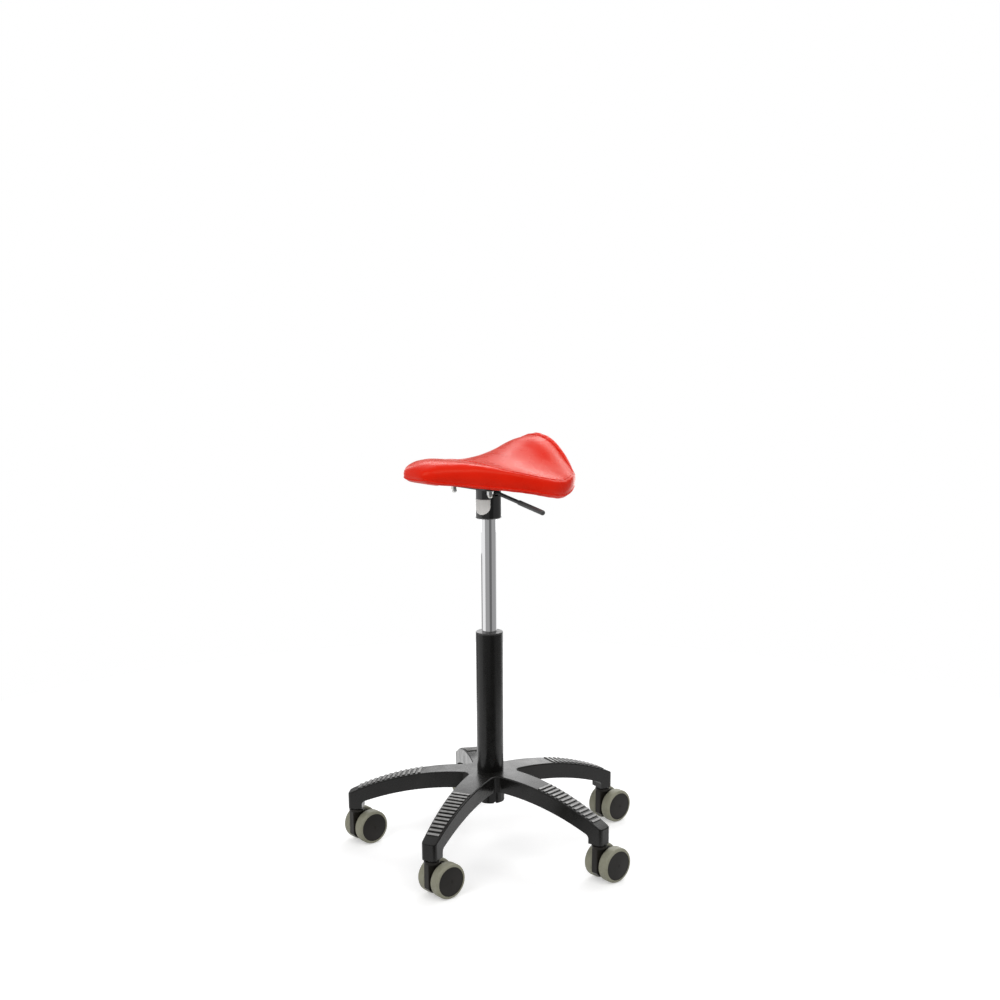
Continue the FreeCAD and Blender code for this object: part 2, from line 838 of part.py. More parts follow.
def make_rubber_buffer():
    """The rubber ring that the pressure tube would land on."""
    body = new_body("rubber_buffer")
    outer = D["buffer_width"] / 2
    top = ROD_SHOULDER + D["buffer_height"]
    revolve(body, "ring", [
        (ROD_BORE, ROD_SHOULDER), (outer, ROD_SHOULDER), (outer, top), (ROD_BORE, top)])
    fillet(body, "ring_edge", lambda edge: is_ring(edge, outer, top), D["buffer_edge"])


def make_piston():
    """The piston with its seal groove, on the rod's end inside the pressure tube."""
    body = new_body("piston")
    outer = LIFT_BORE - D["running_gap"]
    bottom = D["piston_bottom"]
    top = bottom + D["piston_height"]
    third = D["piston_height"] / 3
    seat = D["rod_width"] / 2 + D["press_gap"]
    revolve(body, "piston_ring", [
        (seat, bottom), (outer, bottom), (outer, bottom + third),
        (outer - D["piston_groove"], bottom + third),
        (outer - D["piston_groove"], top - third), (outer, top - third),
        (outer, top), (seat, top)])


def make_pressure_tube():
    """The chromed cylinder with its taper at the top and the valve's bore."""
    body = new_body("pressure_tube")
    outer = D["lift_width"] / 2
    neck = D["lift_taper_width"] / 2
    bore = D["pin_width"] / 2 + D["running_gap"]
    inside_top = D["lift_top"] - D["lift_cap"]
    revolve(body, "tube", [
        (outer, D["lift_bottom"]), (outer, D["lift_taper_start"]), (neck, D["lift_top"]),
        (bore, D["lift_top"]), (bore, inside_top),
        (neck - D["lift_wall"], inside_top),
        (LIFT_BORE, D["lift_taper_start"]), (LIFT_BORE, D["lift_bottom"])])


def make_rod_gland():
    """The guide and seal that close the pressure tube round the rod."""
    body = new_body("rod_gland")
    outer = LIFT_BORE - D["press_gap"]
    top = D["lift_bottom"] + D["gland_height"]
    revolve(body, "gland", [
        (ROD_BORE, D["lift_bottom"]), (outer, D["lift_bottom"]), (outer, top), (ROD_BORE, top)])


def make_valve_pin():
    body = new_body("valve_pin")
    top = LEVER_HEIGHT - D["lever_width"] / 2 - D["press_gap"]
    radius = D["pin_width"] / 2
    revolve(body, "pin", [
        (0, top - D["pin_length"]), (radius, top - D["pin_length"]), (radius, top), (0, top)])
    fillet(body, "pin_edge", lambda edge: is_ring(edge, radius, top), D["pin_edge"])


def make_column_head():
    """The black head: tapered bore, cavity for the valve, slot and pivot for the lever."""
    body = new_body("column_head")
    outer = D["head_width"] / 2
    straight = D["lift_width"] / 2 + D["press_gap"]
    neck = D["lift_taper_width"] / 2 + D["press_gap"]
    floor = D["head_top"] - D["head_cavity_depth"]
    cavity = D["head_cavity_width"] / 2
    revolve(body, "head", [
        (straight, D["head_bottom"]), (outer, D["head_bottom"]), (outer, D["head_top"]),
        (cavity, D["head_top"]), (cavity, floor), (neck, floor), (neck, D["lift_top"]),
        (straight, D["lift_taper_start"])])
    fillet(body, "head_edge", lambda edge: is_ring(edge, outer, D["head_bottom"]), D["head_edge"])
    slot = new_sketch(body, "slot_outline", "YZ_Plane")
    half = D["slot_width"] / 2
    arch = LEVER_HEIGHT + D["slot_headroom"]
    draw(slot, [(-half, floor), (half, floor), (half, arch, (0, arch)),
                (0, arch + half, (0, arch)), (-half, arch)])
    pocket_along(body, "slot", slot, D["head_width"])
    pivot = new_sketch(body, "pivot_outline", "XZ_Plane")
    draw_circle(pivot, D["pivot_at"], LEVER_HEIGHT, D["pivot_width"] / 2 + D["press_gap"] / 2)
    pocket_through(body, "pivot_holes", pivot)


def make_lever_pivot():
    """The steel pin across the column head that the lever turns on."""
    body = new_body("lever_pivot")
    end = new_sketch(body, "pivot_end", "XZ_Plane")
    draw_circle(end, D["pivot_at"], LEVER_HEIGHT, D["pivot_width"] / 2)
    pad(body, "pivot_pin", end, D["pivot_length"], symmetric=True)


def make_lever_rod():
    """The bent lever: level through the head, then drooping to its grip."""
    body = new_body("lever_rod")
    radius = D["lever_bend_radius"]
    droop = D["lever_droop"]
    short = radius * (1 - cosine(droop)) / sine(droop)
    start = D["lever_bend_at"] - short
    height = LEVER_HEIGHT
    after = start + radius * sine(droop)
    run = D["lever_reach"] - D["lever_bend_at"]
    end_height = height - run * sine(droop) / cosine(droop)
    path = new_sketch(body, "lever_path", "XZ_Plane")
    draw(path, [
        (-D["lever_tail"], height), (start, height, (start, height - radius)),
        (after, height - radius + radius * cosine(droop)), (D["lever_reach"], end_height)],
        closed=False)
    end = new_sketch(body, "lever_end", "YZ_Plane", (0, 0, -D["lever_tail"]))
    draw_circle(end, 0, height, D["lever_width"] / 2)
    rod = add_feature(body, "AdditivePipe", "lever", end)
    rod.Spine = (path, [])
    hole = new_sketch(body, "lever_hole", "XZ_Plane")
    draw_circle(hole, D["pivot_at"], height, D["pivot_width"] / 2 + D["running_gap"])
    pocket_through(body, "lever_bore", hole)


def make_lever_grip():
    """The plastic sleeve on the lever's end, with a rounded closed tip."""
    body = new_body("lever_grip")
    bore = D["lever_width"] / 2 + D["press_gap"]
    outer = D["lever_width"] / 2 + D["grip_wall"]
    revolve(body, "sleeve", [
        (-D["grip_length"], bore), (-D["grip_length"], outer), (D["grip_cap"], outer),
        (D["grip_cap"], 0), (D["press_gap"], 0), (D["press_gap"], bore)], axis="H_Axis")
    fillet(body, "grip_tip",
           lambda edge: is_ring(edge, outer, D["grip_cap"], "x"), D["grip_round"])
    droop = D["lever_droop"]
    run = D["lever_reach"] - D["lever_bend_at"]
    place(body, x=D["lever_reach"], z=LEVER_HEIGHT - run * sine(droop) / cosine(droop),
          turn=droop, about=V3(0, 1, 0))


def make_seat_plate():
    """The steel plate with rounded corners that carries the seat on four studs."""
    body = new_body("seat_plate")
    front = D["plate_shift"] - D["plate_length"] / 2
    rear = D["plate_shift"] + D["plate_length"] / 2
    side = D["plate_width"] / 2
    outline = new_sketch(body, "plate_outline", "XY_Plane", (0, 0, D["head_top"]))
    draw(outline, [(-side, front), (side, front), (side, rear), (-side, rear)])
    pad(body, "plate", outline, D["plate_thick"])
    fillet(body, "plate_corners", is_upright, D["plate_corner"])
    holes = new_sketch(body, "stud_holes", "XY_Plane")
    half = D["stud_spacing"] / 2
    for across in (-1, 1):
        for along in (-1, 1):
            draw_circle(holes, across * half, D["plate_shift"] + along * half,
                        D["stud_width"] / 2 + D["seat_gap"])
    pocket_through(body, "stud_bores", holes)


def make_seat_nuts():
    """Four studs with washers and hexagonal cap nuts, one group of like pieces."""
    body = new_body("seat_nuts")
    top = D["head_top"]
    washer = top - D["washer_thick"]
    stud = D["stud_width"] / 2
    dome = D["nut_dome_width"] / 2
    low = washer - D["nut_height"]
    flat = D["nut_across"] / 2
    corner = flat / cosine(size(FULL_TURN / HEX_CORNERS / 2))
    hexagon = new_sketch(body, "hexagon_outline", "XY_Plane", (0, 0, washer - D["nut_hex"]))
    draw(hexagon, [(corner * cosine(turn), corner * sine(turn)) for turn in
                   [size(FULL_TURN / HEX_CORNERS * step) for step in range(HEX_CORNERS)]])
    pad(body, "hexagon", hexagon, D["nut_hex"])
    revolve(body, "stud", [
        (0, low, (0, low + dome)), (dome, low + dome), (dome, washer),
        (D["washer_width"] / 2, washer), (D["washer_width"] / 2, top),
        (stud, top), (stud, PLATE_TOP + D["stud_reach"]), (0, PLATE_TOP + D["stud_reach"])])
    line_up(body, "across", (datum(body, "X_Axis"), [""]), D["stud_spacing"])
    line_up(body, "along", (datum(body, "Y_Axis"), [""]), D["stud_spacing"])
    half = D["stud_spacing"] / 2
    place(body, x=-half, y=D["plate_shift"] - half)


def station_places():
    """How far forward each station of the seat lies, and its sizes, in millimetres."""
    forward = D["seat_rear"]
    found = {}
    for name in STATIONS:
        forward = forward + D[name + "_step"]
        found[name] = (forward.value, {
            part: D["%s_%s" % (name, part)].value for part in STATION_SIZES})
    return found


def arc_through(start, middle, end):
    return Part.Arc(start, middle, end).toShape()


def cushion_section(forward, numbers):
    """One outline across the cushion: crown, flares, shoulders, flanks and underside."""
    half = numbers["half"]
    ridge = PLATE_TOP.value + numbers["rise"]
    round_off = numbers["shoulder"]
    edge_out = half - round_off
    edge_high = ridge - numbers["drop"]
    bottom = edge_high - numbers["flank"]
    crown_out = edge_out * SIZES["crown_reach"]
    crown_high = ridge - numbers["drop"] * SIZES["crown_share"]
    flare_out = (crown_out + edge_out) / 2
    flare_high = ridge - numbers["drop"] * SIZES["flare_share"]
    welt = min(SIZES["welt"], numbers["flank"] / 3)
    foot_out = half - SIZES["flank_draw"] * numbers["flank"] / SIZES["flank_full"]
    slant = math.sqrt(0.5)

    def at(out, high):
        return V3(out, -forward, high)

    shoulder_deep = round_off * SIZES["shoulder_depth"]
    shoulder_low = edge_high - shoulder_deep
    flank_high = bottom + welt
    right = [
        ((crown_out, crown_high), (flare_out, flare_high), (edge_out, edge_high)),
        ((edge_out, edge_high),
         (edge_out + round_off * slant, edge_high - shoulder_deep * (1 - slant)),
         (half, shoulder_low)),
        ((half, shoulder_low),
         ((half + foot_out) / 2 + SIZES["flank_bulge"], (shoulder_low + flank_high) / 2),
         (foot_out, flank_high)),
        ((foot_out, flank_high),
         (foot_out - welt * (1 - slant), bottom + welt * (1 - slant)),
         (foot_out - welt, bottom)),
    ]
    edges = [arc_through(at(-crown_out, crown_high), at(0, ridge), at(crown_out, crown_high))]
    edges += [arc_through(*[at(*point) for point in arc]) for arc in right]
    edges.append(Part.LineSegment(at(foot_out - welt, bottom), at(welt - foot_out, bottom)).toShape())
    for arc in reversed(right):
        edges.append(arc_through(*[at(-out, high) for out, high in reversed(arc)]))
    return Part.Wire(edges)


def shell_section(forward, numbers, grow, deep):
    """One outline across the shell, or across the hollow for it when grown by a gap."""
    ridge = PLATE_TOP.value + numbers["rise"]
    edge = ridge - numbers["drop"] - numbers["flank"] + SIZES["shell_recess"]
    out = numbers["half"] - SIZES["shell_inset"] + grow
    pad_out = min(SIZES["shell_pad"], out * SIZES["pad_share"])
    over_plate = forward < D["plate_length"].value / 2
    level = PLATE_TOP.value if over_plate else edge
    thick = SIZES["shell_thick"] + grow
    points = [(-out, edge - deep), (-pad_out, level - deep),
              (pad_out, level - deep), (out, edge - deep),
              (out, edge + thick), (pad_out, level + thick),
              (-pad_out, level + thick), (-out, edge + thick)]
    corners = [V3(x, -forward, z) for x, z in points]
    return Part.makePolygon(corners + corners[:1])


def stud_bores():
    """The blind bores in the shell that the plate's studs stand in."""
    half = SIZES["stud_spacing"] / 2
    radius = SIZES["stud_width"] / 2 + SIZES["seat_gap"]
    depth = SIZES["stud_reach"] + SIZES["seat_gap"]
    bores = []
    for across in (-1, 1):
        for along in (-1, 1):
            foot = V3(across * half, SIZES["plate_shift"] + along * half, PLATE_TOP.value - depth)
            bores.append(Part.makeCylinder(radius, depth * 2, foot))
    return bores


def make_seat():
    """The moulded shell and the cushion that wraps it, both lofted through the stations."""
    places = station_places()
    stations = [places[name] for name in SHELL_STATIONS]
    shell = Part.makeLoft([shell_section(forward, numbers, 0, 0)
                           for forward, numbers in stations], True, True)
    hollow = Part.makeLoft([
        shell_section(forward, numbers, SIZES["seat_gap"], SIZES["hollow_depth"])
        for forward, numbers in stations], True, True)
    envelope = Part.makeLoft([cushion_section(*place_and_sizes)
                              for place_and_sizes in places.values()], True)
    made = keep(doc.addObject("Part::Feature", "Shell"), "seat_shell")
    made.Shape = shell.cut(stud_bores())
    cushion = keep(doc.addObject("Part::Feature", "Cushion"), "seat_cushion")
    cushion.Shape = envelope.cut(hollow)


def castor_seat(index):
    """Where a castor's stem stands on the floor plan."""
    angle = D["base_turn"] + FULL_TURN / D["arm_count"] * index
    return D["castor_radius"] * cosine(angle), D["castor_radius"] * sine(angle)


def make_castor(index):
    """One trailing twin-wheel castor: hood, stem, axle, two wheels and their treads."""
    name = "castor_%d_" % (index + 1)
    x, y = castor_seat(index)
    make_hood(name, x, y)
    make_stem(name, x, y)
    make_axle(name, x, y)
    for side, word in ((-1, "left"), (1, "right")):
        make_wheel("%s%s_" % (name, word), side, x, y + D["castor_trail"])


def make_hood(name, x, y):
    """The black body between the wheels, with its collar under the arm."""
    body = new_body(name + "hood")
    trail = D["castor_trail"]
    disc = D["hood_disc_width"] / 2
    front = -D["hood_front"]
    toe = D["hood_toe"]
    foot = D["hood_foot"]
    top_lean = D["hood_back_lean"]
    foot_lean = D["hood_foot_lean"]
    back = trail + disc * sine(top_lean)
    side = new_sketch(body, "hood_side", "YZ_Plane")
    draw(side, [
        (front, D["collar_bottom"]), (front, foot),
        (front + toe, foot - toe),
        (trail - disc * sine(foot_lean), WHEEL_RADIUS - disc * cosine(foot_lean),
         (trail, WHEEL_RADIUS)),
        (trail + disc, WHEEL_RADIUS, (trail, WHEEL_RADIUS)),
        (back, WHEEL_RADIUS + disc * cosine(top_lean)),
        (D["collar_width"] / 2, D["collar_bottom"])])
    pad(body, "hood_plate", side, D["wheel_gap"] - D["hood_gap"] * 2, symmetric=True)
    half = D["wheel_gap"] / 2 - D["hood_gap"]

    def at_plate_edge(edge):
        points = [middle_of(edge)] + [vertex.Point for vertex in edge.Vertexes]
        on_side = all(meets(abs(point.x), half) for point in points)
        return on_side and points[0].z < D["collar_bottom"].value - NEAR

    fillet(body, "hood_edges", at_plate_edge, D["hood_edge"])
    collar = D["collar_width"] / 2
    revolve(body, "collar", [
        (0, D["collar_bottom"]), (collar, D["collar_bottom"]),
        (collar, D["collar_top"]), (0, D["collar_top"])])
    fillet(body, "collar_edge",
           lambda edge: is_ring(edge, collar, D["collar_top"]), D["collar_edge"])
    across = new_sketch(body, "axle_hole", "YZ_Plane")
    draw_circle(across, trail, WHEEL_RADIUS, D["axle_width"] / 2 + D["press_gap"])
    pocket_through(body, "axle_bore", across)
    vent = new_sketch(body, "vent_hole", "YZ_Plane")
    draw_circle(vent, front + D["vent_inset"], WHEEL_RADIUS - D["vent_drop"] + D["press_gap"],
                D["vent_width"] / 2)
    pocket_through(body, "vent", vent)
    seat = new_sketch(body, "stem_hole", "XY_Plane", (0, 0, D["collar_top"] - D["stem_root"]))
    draw_circle(seat, 0, 0, D["stem_width"] / 2 + D["press_gap"])
    pocket_along(body, "stem_bore", seat, D["stem_root"] * 2)
    place(body, x, y)


def make_stem(name, x, y):
    """The steel stem with its flange, which turns in the arm's socket."""
    body = new_body(name + "stem")
    radius = D["stem_width"] / 2
    flange = D["stem_flange_width"] / 2
    low = D["collar_top"] - D["stem_root"] + D["press_gap"]
    top = D["tip_bottom"] + D["socket_depth"] - D["press_gap"] * 2
    revolve(body, "stem", [
        (0, low), (radius, low), (radius, D["collar_top"]), (flange, D["collar_top"]),
        (flange, D["collar_top"] + D["stem_flange"]),
        (radius, D["collar_top"] + D["stem_flange"]), (radius, top), (0, top)])
    fillet(body, "stem_top", lambda edge: is_ring(edge, radius, top), D["stem_edge"])
    place(body, x, y)


def make_axle(name, x, y):
    body = new_body(name + "axle")
    end = new_sketch(body, "axle_end", "YZ_Plane")
    draw_circle(end, 0, 0, D["axle_width"] / 2)
    pad(body, "axle_pin", end, D["castor_track"] - D["axle_cover"] * 2 - D["seat_gap"] * 2,
        symmetric=True)
    place(body, x, y + D["castor_trail"], WHEEL_RADIUS)


def make_wheel(name, side, x, y):
    """A wheel with its boss, web and domed cap, and the soft tread round its rim."""
    rim = D["rim_width"] / 2
    bore = D["axle_width"] / 2 + D["running_gap"]
    boss = D["wheel_boss_width"] / 2
    inner = D["wheel_gap"] / 2
    outer = D["castor_track"] / 2
    face = outer - D["rim_inset"]
    web = outer - D["rim_web"]
    dome = D["cap_dome"]
    sag_radius = (rim * rim + dome * dome) / (dome * 2)
    cup = new_body(name + "wheel")
    start = inner + D["rim_inset"]
    cover = outer - D["axle_cover"]
    wall = rim - D["rim_wall"]
    revolve(cup, "wheel", [
        (side * start, bore), (side * start, boss), (side * web, boss), (side * web, wall),
        (side * start, wall), (side * start, rim),
        (side * face, rim, (side * (face + dome - sag_radius), 0)),
        (side * (face + dome), 0), (side * cover, 0), (side * cover, bore)], axis="H_Axis")
    place(cup, x, y, WHEEL_RADIUS)
    tread = new_body(name + "tread")
    seat = rim + D["press_gap"]
    shoulder = D["tread_shoulder"]
    crown = WHEEL_RADIUS - shoulder
    revolve(tread, "tread", [
        (side * inner, seat), (side * inner, crown, (side * (inner + shoulder), crown)),
        (side * (inner + shoulder), WHEEL_RADIUS),
        (side * (outer - shoulder), WHEEL_RADIUS, (side * (outer - shoulder), crown)),
        (side * outer, crown), (side * outer, seat)], axis="H_Axis")
    place(tread, x, y, WHEEL_RADIUS)


def check_and_write():
    """Refuse a failed feature, then write each sub-part under its label."""
    doc.recompute()
    for thing in doc.Objects:
        if "Invalid" in thing.State or "Error" in thing.State:
            raise RuntimeError("%s failed: %s" % (thing.Name, thing.getStatusString()))
    os.makedirs("parts", exist_ok=True)
    for thing in SUB_PARTS:
        if thing.Shape.isNull() or not thing.Shape.isValid():
            raise RuntimeError("%s has no valid shape" % thing.Label)
    for thing in SUB_PARTS:
        thing.Shape.exportStep("parts/%s.step" % thing.Label)
        print("%-28s %2d solids %12.1f mm3" % (
            thing.Label, len(thing.Shape.Solids), thing.Shape.Volume))


make_star_base()
make_castor_sockets()
make_stand_tube()
make_guide_bush()
make_foot_plate()
make_races()
make_ball_cage()
make_piston_rod()
make_retaining_clip()
make_rubber_buffer()
make_piston()
make_pressure_tube()
make_rod_gland()
make_valve_pin()
make_column_head()
make_lever_pivot()
make_lever_rod()
make_lever_grip()
make_seat_plate()
make_seat_nuts()
make_seat()
for castor in range(SIZES["arm_count"]):
    make_castor(castor)
check_and_write()
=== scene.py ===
"""The saddle stool dressed for its portrait: cover, seams, finishes, studio and camera.

Metres, in the part's own frame: the origin is on the floor on the column's
axis, +Z is up, the seat's nose points to -Y and the height lever to +X.
"""
import json
import math

import bmesh
import bpy
import numpy as np
from mathutils import Matrix, Vector
from mathutils.bvhtree import BVHTree
from mathutils.kdtree import KDTree


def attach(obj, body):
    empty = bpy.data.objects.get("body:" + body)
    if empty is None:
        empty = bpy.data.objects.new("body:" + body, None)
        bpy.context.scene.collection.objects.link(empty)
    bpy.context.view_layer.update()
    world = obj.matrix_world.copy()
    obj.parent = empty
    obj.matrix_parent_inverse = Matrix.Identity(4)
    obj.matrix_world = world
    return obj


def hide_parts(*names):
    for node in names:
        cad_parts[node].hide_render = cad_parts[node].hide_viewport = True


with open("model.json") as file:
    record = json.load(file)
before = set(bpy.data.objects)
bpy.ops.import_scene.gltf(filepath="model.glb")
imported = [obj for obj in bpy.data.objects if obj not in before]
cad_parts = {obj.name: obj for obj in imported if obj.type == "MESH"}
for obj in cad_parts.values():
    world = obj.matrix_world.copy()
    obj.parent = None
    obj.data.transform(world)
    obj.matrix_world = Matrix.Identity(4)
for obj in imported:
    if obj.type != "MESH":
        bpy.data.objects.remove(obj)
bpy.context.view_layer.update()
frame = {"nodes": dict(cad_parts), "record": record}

MM = 0.001
UP = Vector((0.0, 0.0, 1.0))

# The camera, which stands to the stool's front right, a little above the seat. Its place
# is counted along the photograph's directions: to the right, away from the viewer, and up
CAMERA_TURN = math.radians(40.0)
CAMERA_TILT = math.radians(14.7)
CAMERA_ROLL = math.radians(-0.4)
CAMERA_PLACE = (0.7 * MM, -2514.9 * MM, 1019.2 * MM)
CAMERA_LENS = 50.4
CAMERA_SHIFT = (0.010, 0.165)

PHOTO_RIGHT = Vector((math.sin(CAMERA_TURN), math.cos(CAMERA_TURN), 0.0))
PHOTO_AWAY = Vector((-math.cos(CAMERA_TURN), math.sin(CAMERA_TURN), 0.0))

# Stations along the seat, in millimetres: how far forward, half width, height
# of the ridge, of the panel's edge and of the underside, and the shoulder's radius
SEAT_STATIONS = (
    (-131.0, 72.0, 749.0, 718.0, 705.0, 5.0),
    (-129.5, 84.0, 763.0, 716.0, 699.0, 6.0),
    (-126.0, 93.0, 774.0, 715.0, 693.0, 6.0),
    (-121.0, 101.0, 780.5, 715.0, 688.0, 6.0),
    (-116.5, 106.5, 780.5, 716.0, 686.0, 6.0),
    (-112.0, 109.5, 775.5, 716.0, 686.0, 6.0),
    (-106.0, 115.0, 775.5, 715.8, 684.5, 6.0),
    (-91.0, 125.0, 773.5, 714.5, 680.5, 6.0),
    (-64.0, 133.5, 762.0, 709.5, 677.5, 6.0),
    (-34.0, 134.0, 751.5, 713.5, 682.5, 7.0),
    (-3.0, 122.5, 745.5, 721.5, 689.5, 8.0),
    (38.0, 100.5, 742.0, 732.5, 696.0, 11.0),
    (76.0, 80.5, 744.5, 742.0, 701.0, 14.5),
    (112.0, 62.5, 748.3, 745.6, 706.5, 17.0),
    (141.0, 49.5, 748.0, 744.5, 710.5, 16.0),
    (158.5, 40.0, 744.0, 739.5, 714.0, 12.0),
    (170.0, 28.0, 737.5, 733.0, 720.5, 6.0),
)
# The arc over the ridge ends at the crown, this share of the way out to the panel's edge and
# this share of the way down to it. The arc on to the edge passes the flare, this share down
CROWN_REACH = 0.6
CROWN_SHARE = 0.41
FLARE_SHARE = 0.72
# The shoulder's depth as a share of its width. A flank of the full height is drawn in this
# far at its foot, and every flank bulges a little
SHOULDER_DEPTH = 1.3
FLANK_FULL = 30.0
FLANK_DRAW = 6.0
FLANK_BULGE = 2.6
# The rounding along the foot of the flanks
WELT = 7.0
# The cushion hangs this far below the shell's recess line
UNDER_HANG = 3.0
# Behind this place the roll of the rear rises from the panel, over a short way, to its full
# height. The crown and the flare rise by a share of it
ROLL_FROM = -108.0
ROLL_RISE = 7.0
ROLL_PROUD = 5.5
CROWN_PROUD = 0.55
FLARE_PROUD = 0.75
# The panel's seam crosses the rear and ends its run along the sides this far forward
REAR_SEAM = -112.0
SIDE_SEAM_END = 40.0
# The panel's front seam: how far forward it lies, at shares of the way out to the edge
FRONT_SEAM = ((44.5, 0.99), (48.3, 0.965), (51.2, 0.91), (53.0, 0.82), (54.3, 0.70), (55.4, 0.55),
              (56.6, 0.38), (58.0, 0.20), (58.8, 0.0))
# The shell under the cushion: its ends, its inset from the cushion's side, how deep it is
# let into the underside, its thickness, the half width of its flat middle and the largest
# share of its own half width that this may be, and the seat plate's top and front
SHELL_FROM = -120.0
SHELL_TO = 141.0
SHELL_INSET = 12.7
SHELL_RECESS = 1.5
SHELL_THICK = 9.3
SHELL_PAD = 68.0
PAD_SHARE = 0.6
PLATE_TOP = 695.0
PLATE_FRONT = 62.0
# The cutter for the shell's space is this much longer at each end, and reaches this far down
HOLLOW_SPARE = 0.3
HOLLOW_DEPTH = 30.0


# ---------------------------------------------------------------- finishes
GLOSS_SOCKETS = {
    "metallic": "Metallic",
    "specular": "Specular IOR Level",
    "coat": "Coat Weight",
    "coat_roughness": "Coat Roughness",
    "sheen": "Sheen Weight",
    "sheen_roughness": "Sheen Roughness",
}
# Sockets of a Mix node set to colours, found by number because several share a name
MIX_SHARE, MIX_FIRST, MIX_SECOND, MIX_RESULT = 0, 6, 7, 2
# Noise runs from 0 to 1, but lies between these for the most part
NOISE_LOW, NOISE_HIGH = 0.35, 0.65


def new_finish(name, colour, roughness, **gloss):
    """A finish with one colour and one gloss, for the steps below to work on."""
    material = bpy.data.materials.new(name)
    material.use_nodes = True
    shader = material.node_tree.nodes["Principled BSDF"]
    shader.inputs["Base Color"].default_value = (*colour, 1.0)
    shader.inputs["Roughness"].default_value = roughness
    for socket, value in gloss.items():
        shader.inputs[GLOSS_SOCKETS[socket]].default_value = value
    material.diffuse_color = (*colour, 1.0)
    return material


def add_node(material, kind, **inputs):
    """A new node of the kind, with its inputs set by name."""
    made = material.node_tree.nodes.new(kind)
    for socket, value in inputs.items():
        made.inputs[socket.replace("_", " ")].default_value = value
    return made


def link(material, start, end):
    """Joins an output to an input."""
    material.node_tree.links.new(start, end)


def shader_of(material):
    """The material's one shader."""
    return material.node_tree.nodes["Principled BSDF"]


def pattern(material, size, detail=2.0, stretch=(1.0, 1.0, 1.0), kind="ShaderNodeTexNoise"):
    """A pattern with spots of the given size in metres, pulled out along an axis by stretch."""
    place = add_node(material, "ShaderNodeTexCoord")
    turn = add_node(material, "ShaderNodeMapping")
    turn.inputs["Scale"].default_value = [1.0 / share for share in stretch]
    made = add_node(material, kind, Scale=1.0 / size)
    if "Detail" in made.inputs:
        made.inputs["Detail"].default_value = detail
    link(material, place.outputs["Object"], turn.inputs["Vector"])
    link(material, turn.outputs["Vector"], made.inputs["Vector"])
    return made


def add_relief(material, height, deep, strength=1.0):
    """Height from a pattern, deep metres at most, laid over the relief that is there."""
    shader = shader_of(material)
    bump = add_node(material, "ShaderNodeBump", Strength=strength, Distance=deep)
    link(material, height, bump.inputs["Height"])
    earlier = shader.inputs["Normal"].links
    if earlier:
        link(material, earlier[0].from_socket, bump.inputs["Normal"])
    link(material, bump.outputs["Normal"], shader.inputs["Normal"])


def add_grain(material, size, deep, **kind):
    """Relief from a pattern with spots of the given size."""
    add_relief(material, pattern(material, size, **kind).outputs[0], deep)


def spread(material, value, low, high, start=NOISE_LOW, end=NOISE_HIGH):
    """A value that runs from start to end, brought to run from low to high."""
    made = add_node(material, "ShaderNodeMapRange", From_Min=start, From_Max=end,
                    To_Min=low, To_Max=high)
    link(material, value, made.inputs["Value"])
    return made.outputs["Result"]


def add_colour(material, colour, share):
    """Lays a colour over those that are there, by a share that an output gives."""
    base = shader_of(material).inputs["Base Color"]
    mix = add_node(material, "ShaderNodeMix")
    mix.data_type = "RGBA"
    if base.links:
        link(material, base.links[0].from_socket, mix.inputs[MIX_FIRST])
    else:
        mix.inputs[MIX_FIRST].default_value = base.default_value
    mix.inputs[MIX_SECOND].default_value = (*colour, 1.0)
    link(material, share, mix.inputs[MIX_SHARE])
    link(material, mix.outputs[MIX_RESULT], base)


def add_clouds(material, size, colour, share):
    """Soft clouds of a second colour, which reach the given share of it."""
    clouds = pattern(material, size)
    add_colour(material, colour, spread(material, clouds.outputs[0], 0.0, share))


def add_gloss_spots(material, size, low, high, **kind):
    """Roughness that drifts from low to high across the surface."""
    spots = pattern(material, size, detail=3.0, **kind)
    drift = spread(material, spots.outputs[0], low, high)
    link(material, drift, shader_of(material).inputs["Roughness"])


def moulded_plastic(name, colour, overlay, roughness, grain=0.6 * MM, deep=0.004 * MM, **gloss):
    """Moulded plastic: spark-eroded grain, drifting gloss and a little handling grime."""
    material = new_finish(name, colour, roughness, **gloss)
    add_clouds(material, size=60 * MM, colour=overlay, share=0.7)
    add_gloss_spots(material, size=25 * MM, low=roughness - 0.05, high=roughness + 0.07)
    add_grain(material, size=grain, deep=deep, detail=3.0)
    return material


def maths(material, operation, *terms):
    """A sum, product or other step on numbers and outputs."""
    made = material.node_tree.nodes.new("ShaderNodeMath")
    made.operation = operation
    for socket, term in zip(made.inputs, terms):
        if isinstance(term, bpy.types.NodeSocket):
            link(material, term, socket)
        else:
            socket.default_value = term
    return made.outputs[0]


def hypotenuse(material, across, up):
    """The length of a line that runs so far across and so far up."""
    squares = [maths(material, "MULTIPLY", side, side) for side in (across, up)]
    return maths(material, "SQRT", maths(material, "ADD", *squares))


# The base's first arm is turned so far from +X, and the next ones follow a fifth of a turn
# on. Seen from its side, an arm's ribs stand between two arcs about one centre, which lies
# this far out from the column and this high, and they start this far along the arm
ARM_TURN = math.radians(8.5)
HALF_FIFTH = math.radians(36.0)
ARC_OUT = 52.0 * MM
ARC_HEIGHT = -330.0 * MM
RIB_FOOT = 487.9 * MM
RIB_CROWN = 488.8 * MM
RIBS_START = 124.0 * MM
RIBS_BLEND = 2.0 * MM
# Painted highlight: the rib tops are painted this lighter grey for the light they catch, broken up
# by noise of this size down to this share
RIB_TOP_HIGHLIGHT = (0.32, 0.316, 0.31)
HIGHLIGHT_BREAKUP_SIZE = 9.0 * MM
HIGHLIGHT_BREAKUP_LEAST = 0.65


